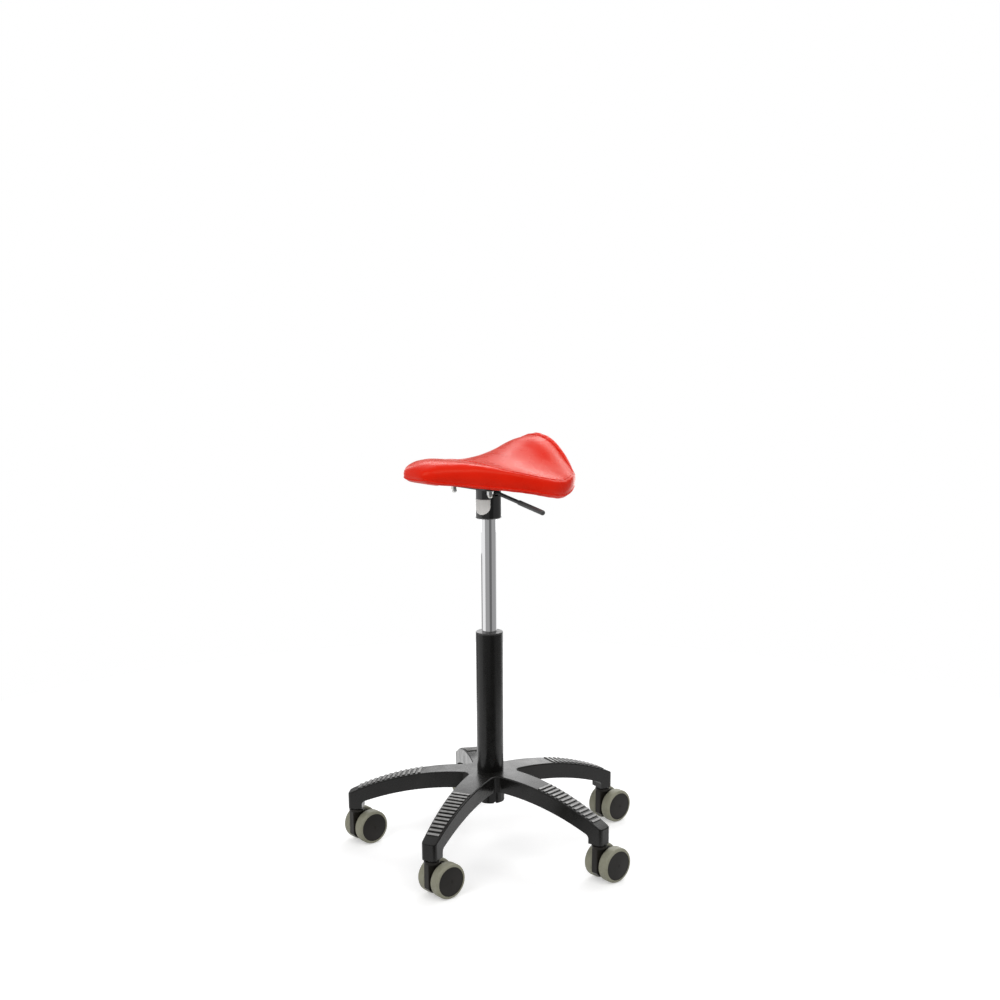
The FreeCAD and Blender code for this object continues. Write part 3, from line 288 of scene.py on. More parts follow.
def ribbed_nylon():
    """The base's black nylon, with the tops of the arms' ribs painted a lighter grey as a painted
    highlight.
    """
    material = moulded_plastic("black_nylon_moulding", (0.0055, 0.0053, 0.005),
                               (0.010, 0.0098, 0.009), roughness=0.25, specular=0.22,
                               coat=0.1, coat_roughness=0.2)
    place = add_node(material, "ShaderNodeTexCoord")
    spot = add_node(material, "ShaderNodeSeparateXYZ")
    link(material, place.outputs["Object"], spot.inputs[0])
    x, y, z = spot.outputs
    turn = maths(material, "SUBTRACT", maths(material, "ARCTAN2", y, x), ARM_TURN)
    aside = maths(material, "WRAP", turn, HALF_FIFTH, -HALF_FIFTH)
    reach = hypotenuse(material, x, y)
    along = maths(material, "MULTIPLY", reach, maths(material, "COSINE", aside))
    out = maths(material, "SUBTRACT", along, ARC_OUT)
    up = maths(material, "SUBTRACT", z, ARC_HEIGHT)
    radius = hypotenuse(material, out, up)
    crown = spread(material, radius, 0.0, 1.0, RIB_FOOT, RIB_CROWN)
    past_hub = spread(material, along, 0.0, 1.0, RIBS_START, RIBS_START + RIBS_BLEND)
    highlight_breakup = spread(material, pattern(material, HIGHLIGHT_BREAKUP_SIZE, detail=4.0).outputs[0],
                    HIGHLIGHT_BREAKUP_LEAST, 1.0)
    # Painted highlight: the share of lighter grey painted on the rib tops past the hub, broken up
    # by noise
    overlay = maths(material, "MULTIPLY", maths(material, "MULTIPLY", crown, past_hub), highlight_breakup)
    add_colour(material, RIB_TOP_HIGHLIGHT, overlay)
    return material


def turned_steel():
    """Bright steel with the fine lay that turning leaves round it."""
    lay = (1.0, 1.0, 0.04)
    material = new_finish("turned_steel", (0.52, 0.52, 0.53), roughness=0.28, metallic=1.0)
    add_gloss_spots(material, size=12 * MM, low=0.24, high=0.36, stretch=lay)
    add_grain(material, size=0.5 * MM, deep=0.004 * MM, stretch=lay)
    return material


def zinc_plate():
    """Bright zinc plate with the faint blue and yellow bloom of passivation."""
    material = new_finish("zinc_plate", (0.62, 0.64, 0.66), roughness=0.22, metallic=1.0)
    add_clouds(material, size=6 * MM, colour=(0.60, 0.58, 0.52), share=0.8)
    add_gloss_spots(material, size=3 * MM, low=0.16, high=0.30)
    add_grain(material, size=0.7 * MM, deep=0.01 * MM)
    return material


def chrome_plate():
    """Chrome over a drawn tube: a clean mirror with the tube's faint lay."""
    material = new_finish("chrome_plate", (0.80, 0.80, 0.81), roughness=0.05, metallic=1.0)
    add_gloss_spots(material, size=30 * MM, low=0.035, high=0.075, stretch=(1.0, 1.0, 3.0))
    add_grain(material, size=2.0 * MM, deep=0.003 * MM, stretch=(1.0, 1.0, 14.0))
    return material


PEEL_DEEP = 0.006 * MM
TOOTH_DEEP = PEEL_DEEP * 0.3
POWDER_FADE = 1.5


def powder_coat(name, colour, roughness, specular=0.5):
    """Baked powder: orange peel under a fine tooth."""
    material = new_finish(name, colour, roughness, specular=specular, coat=0.1,
                          coat_roughness=0.2)
    faded = [tone * POWDER_FADE for tone in colour]
    add_clouds(material, size=80 * MM, colour=faded, share=0.6)
    add_gloss_spots(material, size=18 * MM, low=roughness - 0.04, high=roughness + 0.06)
    add_grain(material, size=1.6 * MM, deep=PEEL_DEEP, detail=1.0)
    add_grain(material, size=0.35 * MM, deep=TOOTH_DEEP)
    return material


def red_vinyl():
    """Upholstery vinyl: leather grain of pebbles and pores, with a satin bloom."""
    material = new_finish("red_vinyl_cover", (0.80, 0.014, 0.003), roughness=0.28,
                          specular=0.17, sheen=0.16, sheen_roughness=0.4)
    shader = shader_of(material)
    shader.inputs["Sheen Tint"].default_value = (1.0, 0.62, 0.42, 1.0)
    shader.inputs["Specular Tint"].default_value = (1.0, 0.80, 0.50, 1.0)
    add_clouds(material, size=70 * MM, colour=(0.73, 0.011, 0.002), share=0.8)
    add_gloss_spots(material, size=30 * MM, low=0.24, high=0.33)
    pebbles = pattern(material, size=1.5 * MM, kind="ShaderNodeTexVoronoi")
    pebbles.feature = "SMOOTH_F1"
    add_relief(material, pebbles.outputs["Distance"], deep=0.05 * MM, strength=0.55)
    add_grain(material, size=0.5 * MM, deep=0.02 * MM, detail=4.0)
    return material


def soft_tread():
    """Soft olive-grey tread, matt, a little dusty from the floor."""
    material = new_finish("soft_tread_rubber", (0.275, 0.27, 0.20), roughness=0.55,
                          specular=0.35)
    add_clouds(material, size=22 * MM, colour=(0.225, 0.22, 0.16), share=0.8)
    add_clouds(material, size=4 * MM, colour=(0.33, 0.325, 0.26), share=0.3)
    add_gloss_spots(material, size=9 * MM, low=0.48, high=0.66)
    add_grain(material, size=0.6 * MM, deep=0.02 * MM, detail=4.0)
    return material


def blank_film():
    """The plain white film of the label's place, a little yellowed."""
    material = new_finish("blank_label_film", (0.97, 0.95, 0.92), roughness=0.32)
    add_clouds(material, size=14 * MM, colour=(0.91, 0.88, 0.84), share=0.6)
    add_grain(material, size=3.0 * MM, deep=0.02 * MM)
    return material


def seam_thread():
    """Bonded thread, twisted."""
    material = new_finish("red_seam_thread", (0.80, 0.030, 0.018), roughness=0.5, sheen=0.3)
    add_clouds(material, size=3 * MM, colour=(0.66, 0.018, 0.011), share=0.8)
    add_grain(material, size=0.25 * MM, deep=0.05 * MM, kind="ShaderNodeTexVoronoi")
    return material


FINISHES = {
    "black_nylon": ribbed_nylon(),
    "black_tube": powder_coat("black_tube_powder", (0.0035, 0.0033, 0.003), roughness=0.26,
                              specular=0.3),
    "black_bush": moulded_plastic("black_bush_nylon", (0.016, 0.0155, 0.015),
                                  (0.024, 0.023, 0.022), roughness=0.38),
    "steel": turned_steel(),
    "zinc": zinc_plate(),
    "chrome": chrome_plate(),
    "gloss_black": moulded_plastic("gloss_black_head", (0.003, 0.003, 0.003),
                                   (0.006, 0.006, 0.006), roughness=0.14, grain=1.4 * MM,
                                   specular=0.5, coat=0.5, coat_roughness=0.06),
    "black_paint": powder_coat("black_plate_paint", (0.012, 0.012, 0.012), roughness=0.36),
    "black_shell": moulded_plastic("black_shell_moulding", (0.018, 0.018, 0.018),
                                   (0.030, 0.029, 0.028), roughness=0.48, grain=0.8 * MM,
                                   deep=0.02 * MM),
    "red_vinyl": red_vinyl(),
    "dark_rod": powder_coat("dark_rod_coat", (0.050, 0.050, 0.052), roughness=0.34),
    "grip_plastic": moulded_plastic("grip_moulding", (0.045, 0.045, 0.046),
                                    (0.060, 0.059, 0.058), roughness=0.42),
    "black_rubber": moulded_plastic("black_rubber", (0.014, 0.014, 0.014),
                                    (0.024, 0.023, 0.022), roughness=0.62, deep=0.03 * MM),
    "castor_black": moulded_plastic("castor_moulding", (0.009, 0.0078, 0.006),
                                    (0.014, 0.012, 0.0095), roughness=0.40, specular=0.2),
    "soft_tread": soft_tread(),
}
LABEL_FILM = blank_film()
THREAD = seam_thread()


def dress_solids():
    """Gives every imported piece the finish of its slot."""
    for subpart in frame["record"]["subparts"]:
        finish = FINISHES[subpart["material_slot"]]
        mesh = frame["nodes"][subpart["node"]].data
        mesh.materials.clear()
        mesh.materials.append(finish)


# ---------------------------------------------------------------- seat shape
# The steps round half an outline: along each of its five arcs, the first of which is half
# the arc over the ridge, and along the flat underside
ARC_STEPS = 8
FLAT_STEPS = 4
# The steps at which the panel's edge and the foot of the flank are reached
EDGE_STEP = 2 * ARC_STEPS
FOOT_STEP = 4 * ARC_STEPS
# Three points count as a line where four times their triangle's area is less than this
STRAIGHT = 1e-6
# The sine of 45 degrees, for the middle of a quarter arc
SLANT = math.sqrt(0.5)


def clamp(share):
    """The share, kept between 0 and 1."""
    return min(1.0, max(0.0, share))


def arc_points(start, middle, end, count):
    """Points along the arc through three points, the first left out."""
    (ax, ay), (bx, by), (cx, cy) = start, middle, end
    across = 2 * (ax * (by - cy) + bx * (cy - ay) + cx * (ay - by))
    shares = np.arange(1, count + 1) / count
    if abs(across) < STRAIGHT:
        return [(ax + (cx - ax) * t, ay + (cy - ay) * t) for t in shares]
    squares = (ax * ax + ay * ay, bx * bx + by * by, cx * cx + cy * cy)
    ox = (squares[0] * (by - cy) + squares[1] * (cy - ay) + squares[2] * (ay - by)) / across
    oy = (squares[0] * (cx - bx) + squares[1] * (ax - cx) + squares[2] * (bx - ax)) / across
    radius = math.hypot(ax - ox, ay - oy)
    first, mid, last = (math.atan2(y - oy, x - ox) for x, y in (start, middle, end))
    sweep = (last - first) % (2 * math.pi)
    if (mid - first) % (2 * math.pi) > sweep:
        sweep -= 2 * math.pi
    return [(ox + radius * math.cos(first + sweep * t), oy + radius * math.sin(first + sweep * t))
            for t in shares]


def right_half(forward, half, ridge, edge, bottom, shoulder):
    """Half an outline across the cushion, from the ridge over the flank to the middle below."""
    edge_out = half - shoulder
    drop = ridge - edge
    proud = ROLL_PROUD * clamp((ROLL_FROM - forward) / ROLL_RISE)
    crown = (edge_out * CROWN_REACH, ridge - drop * CROWN_SHARE)
    flare = ((crown[0] + edge_out) / 2 + proud * FLARE_PROUD,
             ridge - drop * FLARE_SHARE + proud * FLARE_PROUD)
    crown = (crown[0] + proud * CROWN_PROUD, crown[1] + proud * CROWN_PROUD)
    flank = edge - bottom
    welt = min(WELT, flank / 3)
    foot = half - FLANK_DRAW * flank / FLANK_FULL
    deep = shoulder * SHOULDER_DEPTH
    low, high = edge - deep, bottom + welt
    whole = arc_points((-crown[0], crown[1]), (0.0, ridge), crown, 2 * ARC_STEPS)
    points = [(0.0, ridge)] + whole[ARC_STEPS:]
    points += arc_points(crown, flare, (edge_out, edge), ARC_STEPS)
    points += arc_points((edge_out, edge),
                         (edge_out + shoulder * SLANT, edge - deep * (1 - SLANT)),
                         (half, low), ARC_STEPS)
    points += arc_points((half, low), ((half + foot) / 2 + FLANK_BULGE, (low + high) / 2),
                         (foot, high), ARC_STEPS)
    points += arc_points((foot, high),
                         (foot - welt * (1 - SLANT), bottom + welt * (1 - SLANT)),
                         (foot - welt, bottom), ARC_STEPS)
    inner = foot - welt
    points += [(inner * (1 - step / FLAT_STEPS), bottom) for step in range(1, FLAT_STEPS + 1)]
    return points


# How often a stretch of the line is halved to find a place on it
HALVINGS = 40


class SeatLine:
    """The seat's stations joined by a smooth curve, to be read at any place along it."""

    def __init__(self):
        """Sets the stations' places along the curve and its slopes there."""
        self.rows = np.array(SEAT_STATIONS)
        steps = np.diff(self.rows[:, :3], axis=0)
        self.knots = np.concatenate([[0.0], np.cumsum(np.sqrt((steps ** 2).sum(1)))])
        spans = np.diff(self.knots)[:, None]
        slopes = np.diff(self.rows, axis=0) / spans
        inner = (slopes[:-1] * spans[1:] + slopes[1:] * spans[:-1]) / (spans[1:] + spans[:-1])
        self.slopes = np.concatenate([slopes[:1], inner, slopes[-1:]])

    def at(self, place):
        """The station at a place from 0, the rear, to 1, the nose."""
        distance = place * self.knots[-1]
        index = int(np.clip(np.searchsorted(self.knots, distance) - 1, 0, len(self.knots) - 2))
        span = self.knots[index + 1] - self.knots[index]
        t = (distance - self.knots[index]) / span
        start, end = self.rows[index], self.rows[index + 1]
        out, into = self.slopes[index] * span, self.slopes[index + 1] * span
        return ((2 * t ** 3 - 3 * t ** 2 + 1) * start + (t ** 3 - 2 * t ** 2 + t) * out
                + (3 * t ** 2 - 2 * t ** 3) * end + (t ** 3 - t ** 2) * into)

    def where(self, forward):
        """The place along the line at which the seat lies that far forward."""
        low, high = 0.0, 1.0
        for _ in range(HALVINGS):
            middle = (low + high) / 2
            if self.at(middle)[0] < forward:
                low = middle
            else:
                high = middle
        return (low + high) / 2


SEAT = SeatLine()


def cover_half(place):
    """How far forward a place along the seat lies, and the right half of the cover there."""
    forward, half, ridge, edge, bottom, shoulder = SEAT.at(place)
    return forward, right_half(forward, half, ridge, edge, bottom - UNDER_HANG, shoulder)


def seat_point(place, step, side):
    """The point of the cover at a place along it and a step round its outline."""
    forward, right = cover_half(place)
    out, high = right[step]
    return Vector((side * out, -forward, high)) * MM


# Vertices that lie closer than this, in metres, are one
SAME_SPOT = 1e-6


def new_piece(name, work, finish):
    """An object with the work's mesh, at the origin, in one finish."""
    mesh = bpy.data.meshes.new(name)
    work.to_mesh(mesh)
    work.free()
    mesh.materials.append(finish)
    mesh.shade_smooth()
    piece = bpy.data.objects.new(name, mesh)
    bpy.context.scene.collection.objects.link(piece)
    return piece


def apply_modifiers(piece):
    """Makes the piece's modifiers part of its mesh."""
    graph = bpy.context.evaluated_depsgraph_get()
    old = piece.data
    piece.data = bpy.data.meshes.new_from_object(piece.evaluated_get(graph))
    piece.modifiers.clear()
    bpy.data.meshes.remove(old)


def roll_grid(rows, outline_at, ends_out):
    """A grid rolled round closed outlines, one for each row, with ends that stand out a little."""
    count = len(outline_at(0.0))
    work = bmesh.new()
    bmesh.ops.create_grid(work, x_segments=count, y_segments=rows, size=1.0)
    outlines = [outline_at(row / rows) for row in range(rows + 1)]
    for vert in work.verts:
        step = round((vert.co.x + 1) / 2 * count) % count
        row = round((vert.co.y + 1) / 2 * rows)
        vert.co = outlines[row][step]
    bmesh.ops.remove_doubles(work, verts=work.verts, dist=SAME_SPOT)
    rims = [edge for edge in work.edges if edge.is_boundary]
    caps = bmesh.ops.holes_fill(work, edges=rims, sides=0)["faces"]
    for cap in caps:
        middle = cap.calc_center_median()
        outwards = Vector((0.0, math.copysign(ends_out, middle.y), 0.0))
        bmesh.ops.inset_individual(work, faces=[cap], thickness=2.0 * ends_out, depth=0.0)
        bmesh.ops.translate(work, verts=cap.verts, vec=outwards)
    bmesh.ops.recalc_face_normals(work, faces=work.faces)
    return work


def cushion_outline(place):
    """The whole outline of the cushion at a place along the seat."""
    forward, right = cover_half(place)
    left = [(-out, high) for out, high in reversed(right[1:-1])]
    return [Vector((out, -forward, high)) * MM for out, high in right + left]


def hollow_outline(place):
    """The outline of the space that the shell fills, open well below the cushion."""
    forward = SHELL_FROM - HOLLOW_SPARE + (SHELL_TO - SHELL_FROM + 2 * HOLLOW_SPARE) * place
    _, half, _, _, bottom, _ = SEAT.at(SEAT.where(forward))
    edge = bottom + SHELL_RECESS
    out = half - SHELL_INSET
    pad = min(SHELL_PAD, out * PAD_SHARE)
    level = PLATE_TOP if forward < PLATE_FRONT else edge
    below = [(-out, edge - HOLLOW_DEPTH), (-pad, level - HOLLOW_DEPTH),
             (pad, level - HOLLOW_DEPTH), (out, edge - HOLLOW_DEPTH)]
    above = [(out, edge + SHELL_THICK), (pad, level + SHELL_THICK),
             (-pad, level + SHELL_THICK), (-out, edge + SHELL_THICK)]
    return [Vector((x, -forward, z)) * MM for x, z in below + above]


def seam_places(start, end, count):
    """Even places along the seat from one distance forward to another."""
    first, last = SEAT.where(start), SEAT.where(end)
    return [first + (last - first) * index / (count - 1) for index in range(count)]


def top_point(forward, share):
    """The point of the seat's top at a share of the way out to the panel's edge."""
    top = np.array(cover_half(SEAT.where(forward))[1][:EDGE_STEP + 1])
    out = share * top[-1, 0]
    high = np.interp(out, top[:, 0], top[:, 1])
    return Vector((out, -forward, high)) * MM


SIDE_SEAM_POINTS = 60


def panel_loop():
    """The top panel's seam: up one side, across before the nose, back and over the rear."""
    places = seam_places(REAR_SEAM, SIDE_SEAM_END, SIDE_SEAM_POINTS)
    front = [top_point(forward, share) for forward, share in FRONT_SEAM]
    loop = [seat_point(place, EDGE_STEP, 1) for place in places] + front
    loop += [Vector((-point.x, point.y, point.z)) for point in reversed(front[:-1])]
    loop += [seat_point(place, EDGE_STEP, -1) for place in reversed(places)]
    loop += [seat_point(places[0], step, -1) for step in range(EDGE_STEP - 1, 0, -1)]
    loop += [seat_point(places[0], step, 1) for step in range(EDGE_STEP)]
    return loop


def even_points(loop, pitch):
    """Points a pitch apart along a closed line."""
    corners = np.array([*loop, loop[0]])
    lengths = np.concatenate([[0.0], np.cumsum(np.linalg.norm(np.diff(corners, axis=0), axis=1))])
    count = round(lengths[-1] / pitch)
    wanted = np.arange(count) * lengths[-1] / count
    return [Vector([np.interp(d, lengths, corners[:, axis]) for axis in range(3)]) for d in wanted]


LOOP_PITCH = 2.0 * MM
PANEL_LOOP = even_points(panel_loop(), LOOP_PITCH)


def distance_to(points):
    """A function that says how far a spot is from the nearest of the points."""
    tree = KDTree(len(points))
    for index, point in enumerate(points):
        tree.insert(point, index)
    tree.balance()
    return lambda spot: tree.find(spot)[2]


# The rows of the cushion's first grid and how far its ends stand out, the rows of the
# cutter for the shell's space, and the squares that the cushion is made of anew
COVER_ROWS = 110
COVER_ENDS = 1.2 * MM
HOLLOW_ROWS = 24
VOXEL = 4.0 * MM
# The cover is held fast this near to the seam and is free this far from it. In millimetres,
# it is held fast this high over the underside, and is free this much higher
SEAM_HOLD = 3.0 * MM
SEAM_FREE = 14.0 * MM
UNDER_HOLD = 4.0
UNDER_FADE = 8.0
# It is taken in before it is stuffed, and no part of it swells by more than this
SHRINK = 0.6 * MM
SWELL = 3.2 * MM
STUFFING_FRAMES = 20
# The groove that the seam presses in fades over this distance
GROOVE_HALF = 4.0 * MM
GROOVE_DEEP = 0.6 * MM
# Faces that meet at more than this show a crease
CREASE = math.radians(50.0)


def stuff(piece, held):
    """Blows the cover up from inside while its seams and its underside are held."""
    group = piece.vertex_groups.new(name="held")
    for vert in piece.data.vertices:
        group.add([vert.index], held(vert.co), "REPLACE")
    start = [vert.co.copy() for vert in piece.data.vertices]
    cloth = piece.modifiers.new("stuffing", "CLOTH")
    settings = cloth.settings
    settings.quality = 6
    settings.mass = 0.3
    settings.tension_stiffness = 22.0
    settings.compression_stiffness = 22.0
    settings.shear_stiffness = 12.0
    settings.bending_stiffness = 0.6
    settings.use_pressure = True
    settings.uniform_pressure_force = 6.0
    settings.vertex_group_mass = "held"
    settings.effector_weights.gravity = 0.0
    cloth.collision_settings.use_collision = False
    scene = bpy.context.scene
    for number in range(1, STUFFING_FRAMES + 1):
        scene.frame_set(number)
    apply_modifiers(piece)
    scene.frame_set(1)
    for vert, before in zip(piece.data.vertices, start):
        moved = vert.co - before
        if moved.length > SWELL:
            vert.co = before + moved * (SWELL / moved.length)
    piece.vertex_groups.clear()


def take_in(cover, held):
    """Draws the free parts of the cover in a little, so that its filling stretches it."""
    work = bmesh.new()
    work.from_mesh(cover.data)
    for vert in work.verts:
        vert.co -= vert.normal * (SHRINK * (1 - held(vert.co)))
    work.to_mesh(cover.data)
    work.free()


def press_seam(cover, to_seam):
    """Smooths the skin, most of all away from the seam, and presses the seam's groove in."""
    work = bmesh.new()
    work.from_mesh(cover.data)
    plain = [vert for vert in work.verts if to_seam(vert.co) > SEAM_FREE / 2]
    for verts in (work.verts, plain, plain, plain, work.verts):
        bmesh.ops.smooth_vert(work, verts=verts, factor=0.5, use_axis_x=True,
                              use_axis_y=True, use_axis_z=True)
    for vert in work.verts:
        near = to_seam(vert.co) / GROOVE_HALF
        vert.co -= vert.normal * (GROOVE_DEEP * math.exp(-near * near))
    work.to_mesh(cover.data)
    work.free()


def hollow_out(cover):
    """Cuts the space that the shell fills out of the cover."""
    cutter = new_piece("hollow", roll_grid(HOLLOW_ROWS, hollow_outline, 0.0),
                       FINISHES["red_vinyl"])
    cut = cover.modifiers.new("hollow", "BOOLEAN")
    cut.operation = "DIFFERENCE"
    cut.object = cutter
    cut.solver = "EXACT"
    apply_modifiers(cover)
    bpy.data.objects.remove(cutter)


def make_cover():
    """The vinyl cover over its foam, seamed round the top panel and hollow underneath."""
    cover = new_piece("seat_cover", roll_grid(COVER_ROWS, cushion_outline, COVER_ENDS),
                      FINISHES["red_vinyl"])
    remesh = cover.modifiers.new("even_skin", "REMESH")
    remesh.mode = "VOXEL"
    remesh.voxel_size = VOXEL
    apply_modifiers(cover)
    to_seam = distance_to(PANEL_LOOP)

    def held(spot):
        """How fast the seam or the underside holds the cover at a spot, from 0 to 1."""
        seam = 1 - clamp((to_seam(spot) - SEAM_HOLD) / (SEAM_FREE - SEAM_HOLD))
        _, _, _, _, bottom, _ = SEAT.at(SEAT.where(-spot.y / MM))
        below = 1 - clamp((spot.z / MM - bottom - UNDER_HOLD) / UNDER_FADE)
        return max(seam, below)

    take_in(cover, held)
    stuff(cover, held)
    press_seam(cover, to_seam)
    finer = cover.modifiers.new("finer", "SUBSURF")
    finer.levels = finer.render_levels = 1
    apply_modifiers(cover)
    hollow_out(cover)
    cover.data.materials.clear()
    cover.data.materials.append(FINISHES["red_vinyl"])
    cover.data.shade_smooth()
    cover.data.set_sharp_from_angle(angle=CREASE)
    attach(cover, "lift")
    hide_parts("seat_cushion")
    return cover


def on_surface(tree, point, lift):
    """The nearest point of the cover and its outward direction, lifted by lift."""
    spot, normal, _, _ = tree.find_nearest(point)
    return spot + normal * lift, normal


def tube_along(name, points, radius, finish):
    """A round cord along the points and back to the first, as a mesh."""
    line = bpy.data.curves.new(name, "CURVE")
    line.dimensions = "3D"
    line.bevel_depth = radius
    line.bevel_resolution = 3
    line.resolution_u = 2
    run = line.splines.new("NURBS")
    run.points.add(len(points) - 1)
    for knot, point in zip(run.points, points):
        knot.co = (*point, 1.0)
    run.order_u = 3
    run.use_cyclic_u = True
    holder = bpy.data.objects.new(name + "_line", line)
    bpy.context.scene.collection.objects.link(holder)
    bpy.context.view_layer.update()
    graph = bpy.context.evaluated_depsgraph_get()
    mesh = bpy.data.meshes.new_from_object(holder.evaluated_get(graph))
    bpy.data.objects.remove(holder)
    work = bmesh.new()
    work.from_mesh(mesh)
    bpy.data.meshes.remove(mesh)
    bmesh.ops.remove_doubles(work, verts=work.verts, dist=SAME_SPOT)
    bmesh.ops.recalc_face_normals(work, faces=work.faces)
    piece = new_piece(name, work, finish)
    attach(piece, "lift")
    return piece


FOLD_PITCH = 3.0 * MM
FOLD_LIFT = 0.15 * MM
FOLD_RADIUS = 0.8 * MM


def make_seams(cover):
    """The folded edge and the stitches of the panel's seam, and the welt low on the flanks."""
    tree = BVHTree.FromObject(cover, bpy.context.evaluated_depsgraph_get())
    points = even_points(PANEL_LOOP, FOLD_PITCH)
    fold = [on_surface(tree, point, FOLD_LIFT)[0] for point in points]
    seam = tube_along("panel_seam_fold", fold, FOLD_RADIUS, FINISHES["red_vinyl"])
    make_stitches(tree)
    make_welt(tree)


# A stitch is twice as long and twice as thick as these
STITCH_LONG = 1.6 * MM
STITCH_THICK = 0.28 * MM
STITCH_PITCH = 4.4 * MM
STITCH_ASIDE = 3.0 * MM
STITCH_LIFT = 0.05 * MM


def make_stitches(tree):
    """A row of short stitches beside the seam, on the panel's side."""
    work = bmesh.new()
    points = even_points(PANEL_LOOP, STITCH_PITCH)
    middle = sum(points, Vector()) / len(points)
    for index, point in enumerate(points):
        ahead = points[(index + 1) % len(points)] - points[index - 1]
        spot, normal = on_surface(tree, point, 0.0)
        along = ahead.normalized()
        aside = normal.cross(along).normalized()
        if aside.dot(middle - point) < 0:
            aside.negate()
        spot, normal = on_surface(tree, spot + aside * STITCH_ASIDE, STITCH_LIFT)
        aside = normal.cross(along).normalized()
        turn = Matrix((along, aside, normal)).transposed().to_4x4()
        size = Matrix.Diagonal((STITCH_LONG, STITCH_THICK, STITCH_THICK, 1.0))
        bmesh.ops.create_uvsphere(work, u_segments=8, v_segments=6, radius=1.0,
                                  matrix=Matrix.Translation(spot) @ turn @ size)
    bmesh.ops.recalc_face_normals(work, faces=work.faces)
    stitches = new_piece("panel_stitches", work, THREAD)
    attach(stitches, "lift")


WELT_FROM = -122.0
WELT_TO = 164.0
WELT_POINTS = 70
WELT_PITCH = 5.0 * MM
WELT_LIFT = 0.3 * MM
WELT_RADIUS = 1.5 * MM


def make_welt(tree):
    """The welt that runs low round the flanks and under the nose."""
    places = seam_places(WELT_FROM, WELT_TO, WELT_POINTS)
    loop = [seat_point(place, FOOT_STEP, 1) for place in places]
    loop += [seat_point(place, FOOT_STEP, -1) for place in reversed(places)]
    points = [on_surface(tree, point, WELT_LIFT)[0] for point in even_points(loop, WELT_PITCH)]
    welt = tube_along("lower_welt", points, WELT_RADIUS, FINISHES["red_vinyl"])


# ---------------------------------------------------------------- label's place
HEAD_RADIUS = 24.0 * MM
LABEL_FROM = math.radians(-115.0)
LABEL_TO = math.radians(-31.6)
LABEL_LOW = 643.0 * MM
LABEL_HIGH = 670.5 * MM
# Below this share of its height the label's sides round in. Its least width, as a share,
# is the root of the tip
LABEL_ROUND = 0.55
LABEL_TIP = 0.04
LABEL_LIFT = 0.02 * MM
LABEL_THICK = 0.18 * MM


def make_blank_label():
    """A blank film where the head carries its label, round at its lower corners."""
    work = bmesh.new()
    bmesh.ops.create_grid(work, x_segments=24, y_segments=18, size=1.0)
    middle, reach = (LABEL_FROM + LABEL_TO) / 2, (LABEL_TO - LABEL_FROM) / 2
    for vert in work.verts:
        high = (vert.co.y + 1) / 2
        below = max(0.0, (LABEL_ROUND - high) / LABEL_ROUND)
        across = vert.co.x * math.sqrt(max(LABEL_TIP, 1 - below * below))
        angle = middle + across * reach
        level = LABEL_LOW + (LABEL_HIGH - LABEL_LOW) * high
        out = HEAD_RADIUS + LABEL_LIFT
        vert.co = (out * math.cos(angle), out * math.sin(angle), level)
    bmesh.ops.recalc_face_normals(work, faces=work.faces)
    label = new_piece("blank_label", work, LABEL_FILM)
    body = label.modifiers.new("film", "SOLIDIFY")
    body.thickness = LABEL_THICK
    body.offset = 1.0
    apply_modifiers(label)
    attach(label, "lift")


# ---------------------------------------------------------------- studio
FLOOR_RADIUS = 1.65
FLOOR_DROP = 0.3 * MM
FLOOR_TONE = 0.80
FLOOR_GLOW = 0.42
SKY_LIGHT = 0.45

# Each softbox: its place in the photograph's directions, the height on the column's axis
# that it faces, its two sides, and its power
SOFTBOXES = {
    "key_softbox": ((-1.2, -1.6, 1.9), 0.55, (1.3, 1.3), 18.0),
    "fill_softbox": ((0.8, -1.6, 2.2), 0.55, (1.5, 1.0), 12.0),
    "over_softbox": ((0.80, 0.96, 1.87), 0.74, (1.7, 1.1), 13.5),
    "back_softbox": ((0.0, 1.75, 1.25), 0.60, (2.6, 1.8), 15.0),
}
# Each card round the stool: the turns it runs between, in degrees to the right of the
# camera's side, the heights it runs between, its distance from the column, and its tone
CARDS = {
    "card_back_white": ((140.0, 220.0), (0.35, 1.90), 1.60, 2.6),
    "card_front": ((-58.0, 6.0), (0.02, 1.30), 0.95, 0.38),
    "card_front_right": ((6.0, 42.0), (0.02, 1.30), 0.95, 0.16),
    "card_right": ((42.0, 125.0), (0.02, 1.10), 0.95, 0.38),
    "card_behind_left": ((-178.0, -120.0), (0.02, 0.40), 0.95, 0.30),
    "card_behind_seat": ((140.0, 220.0), (0.74, 1.00), 0.50, 0.12),
}
# The round card on the floor: its middle in the photograph's directions, its radius and tone
FLOOR_CARD_PLACE = (0.2, -1.28, 0.004)
FLOOR_CARD_RADIUS = 0.9
FLOOR_CARD_TONE = 0.10


def empty_tree(owner, output="ShaderNodeOutputMaterial"):
    """The owner's node tree with nothing left in it, and the surface socket of a new output."""
    owner.use_nodes = True
    tree = owner.node_tree
    tree.nodes.clear()
    return tree, tree.nodes.new(output).inputs["Surface"]


def grey_shader(tree, kind, tone, **inputs):
    """The output of a shader of one grey tone."""
    made = tree.nodes.new(kind)
    made.inputs["Color"].default_value = (tone, tone, tone, 1.0)
    for socket, value in inputs.items():
        made.inputs[socket].default_value = value
    return made.outputs[0]


def emission_split(tree, seen, lit):
    """Shows one shader to the camera and to mirrors, and another to soft light."""
    path = tree.nodes.new("ShaderNodeLightPath")
    rays = path.outputs["Is Camera Ray"]
    for name in ("Is Glossy Ray", "Is Transmission Ray"):
        either = tree.nodes.new("ShaderNodeMath")
        either.operation = "MAXIMUM"
        tree.links.new(rays, either.inputs[0])
        tree.links.new(path.outputs[name], either.inputs[1])
        rays = either.outputs[0]
    mix = tree.nodes.new("ShaderNodeMixShader")
    tree.links.new(rays, mix.inputs[0])
    tree.links.new(lit, mix.inputs[1])
    tree.links.new(seen, mix.inputs[2])
    return mix.outputs[0]


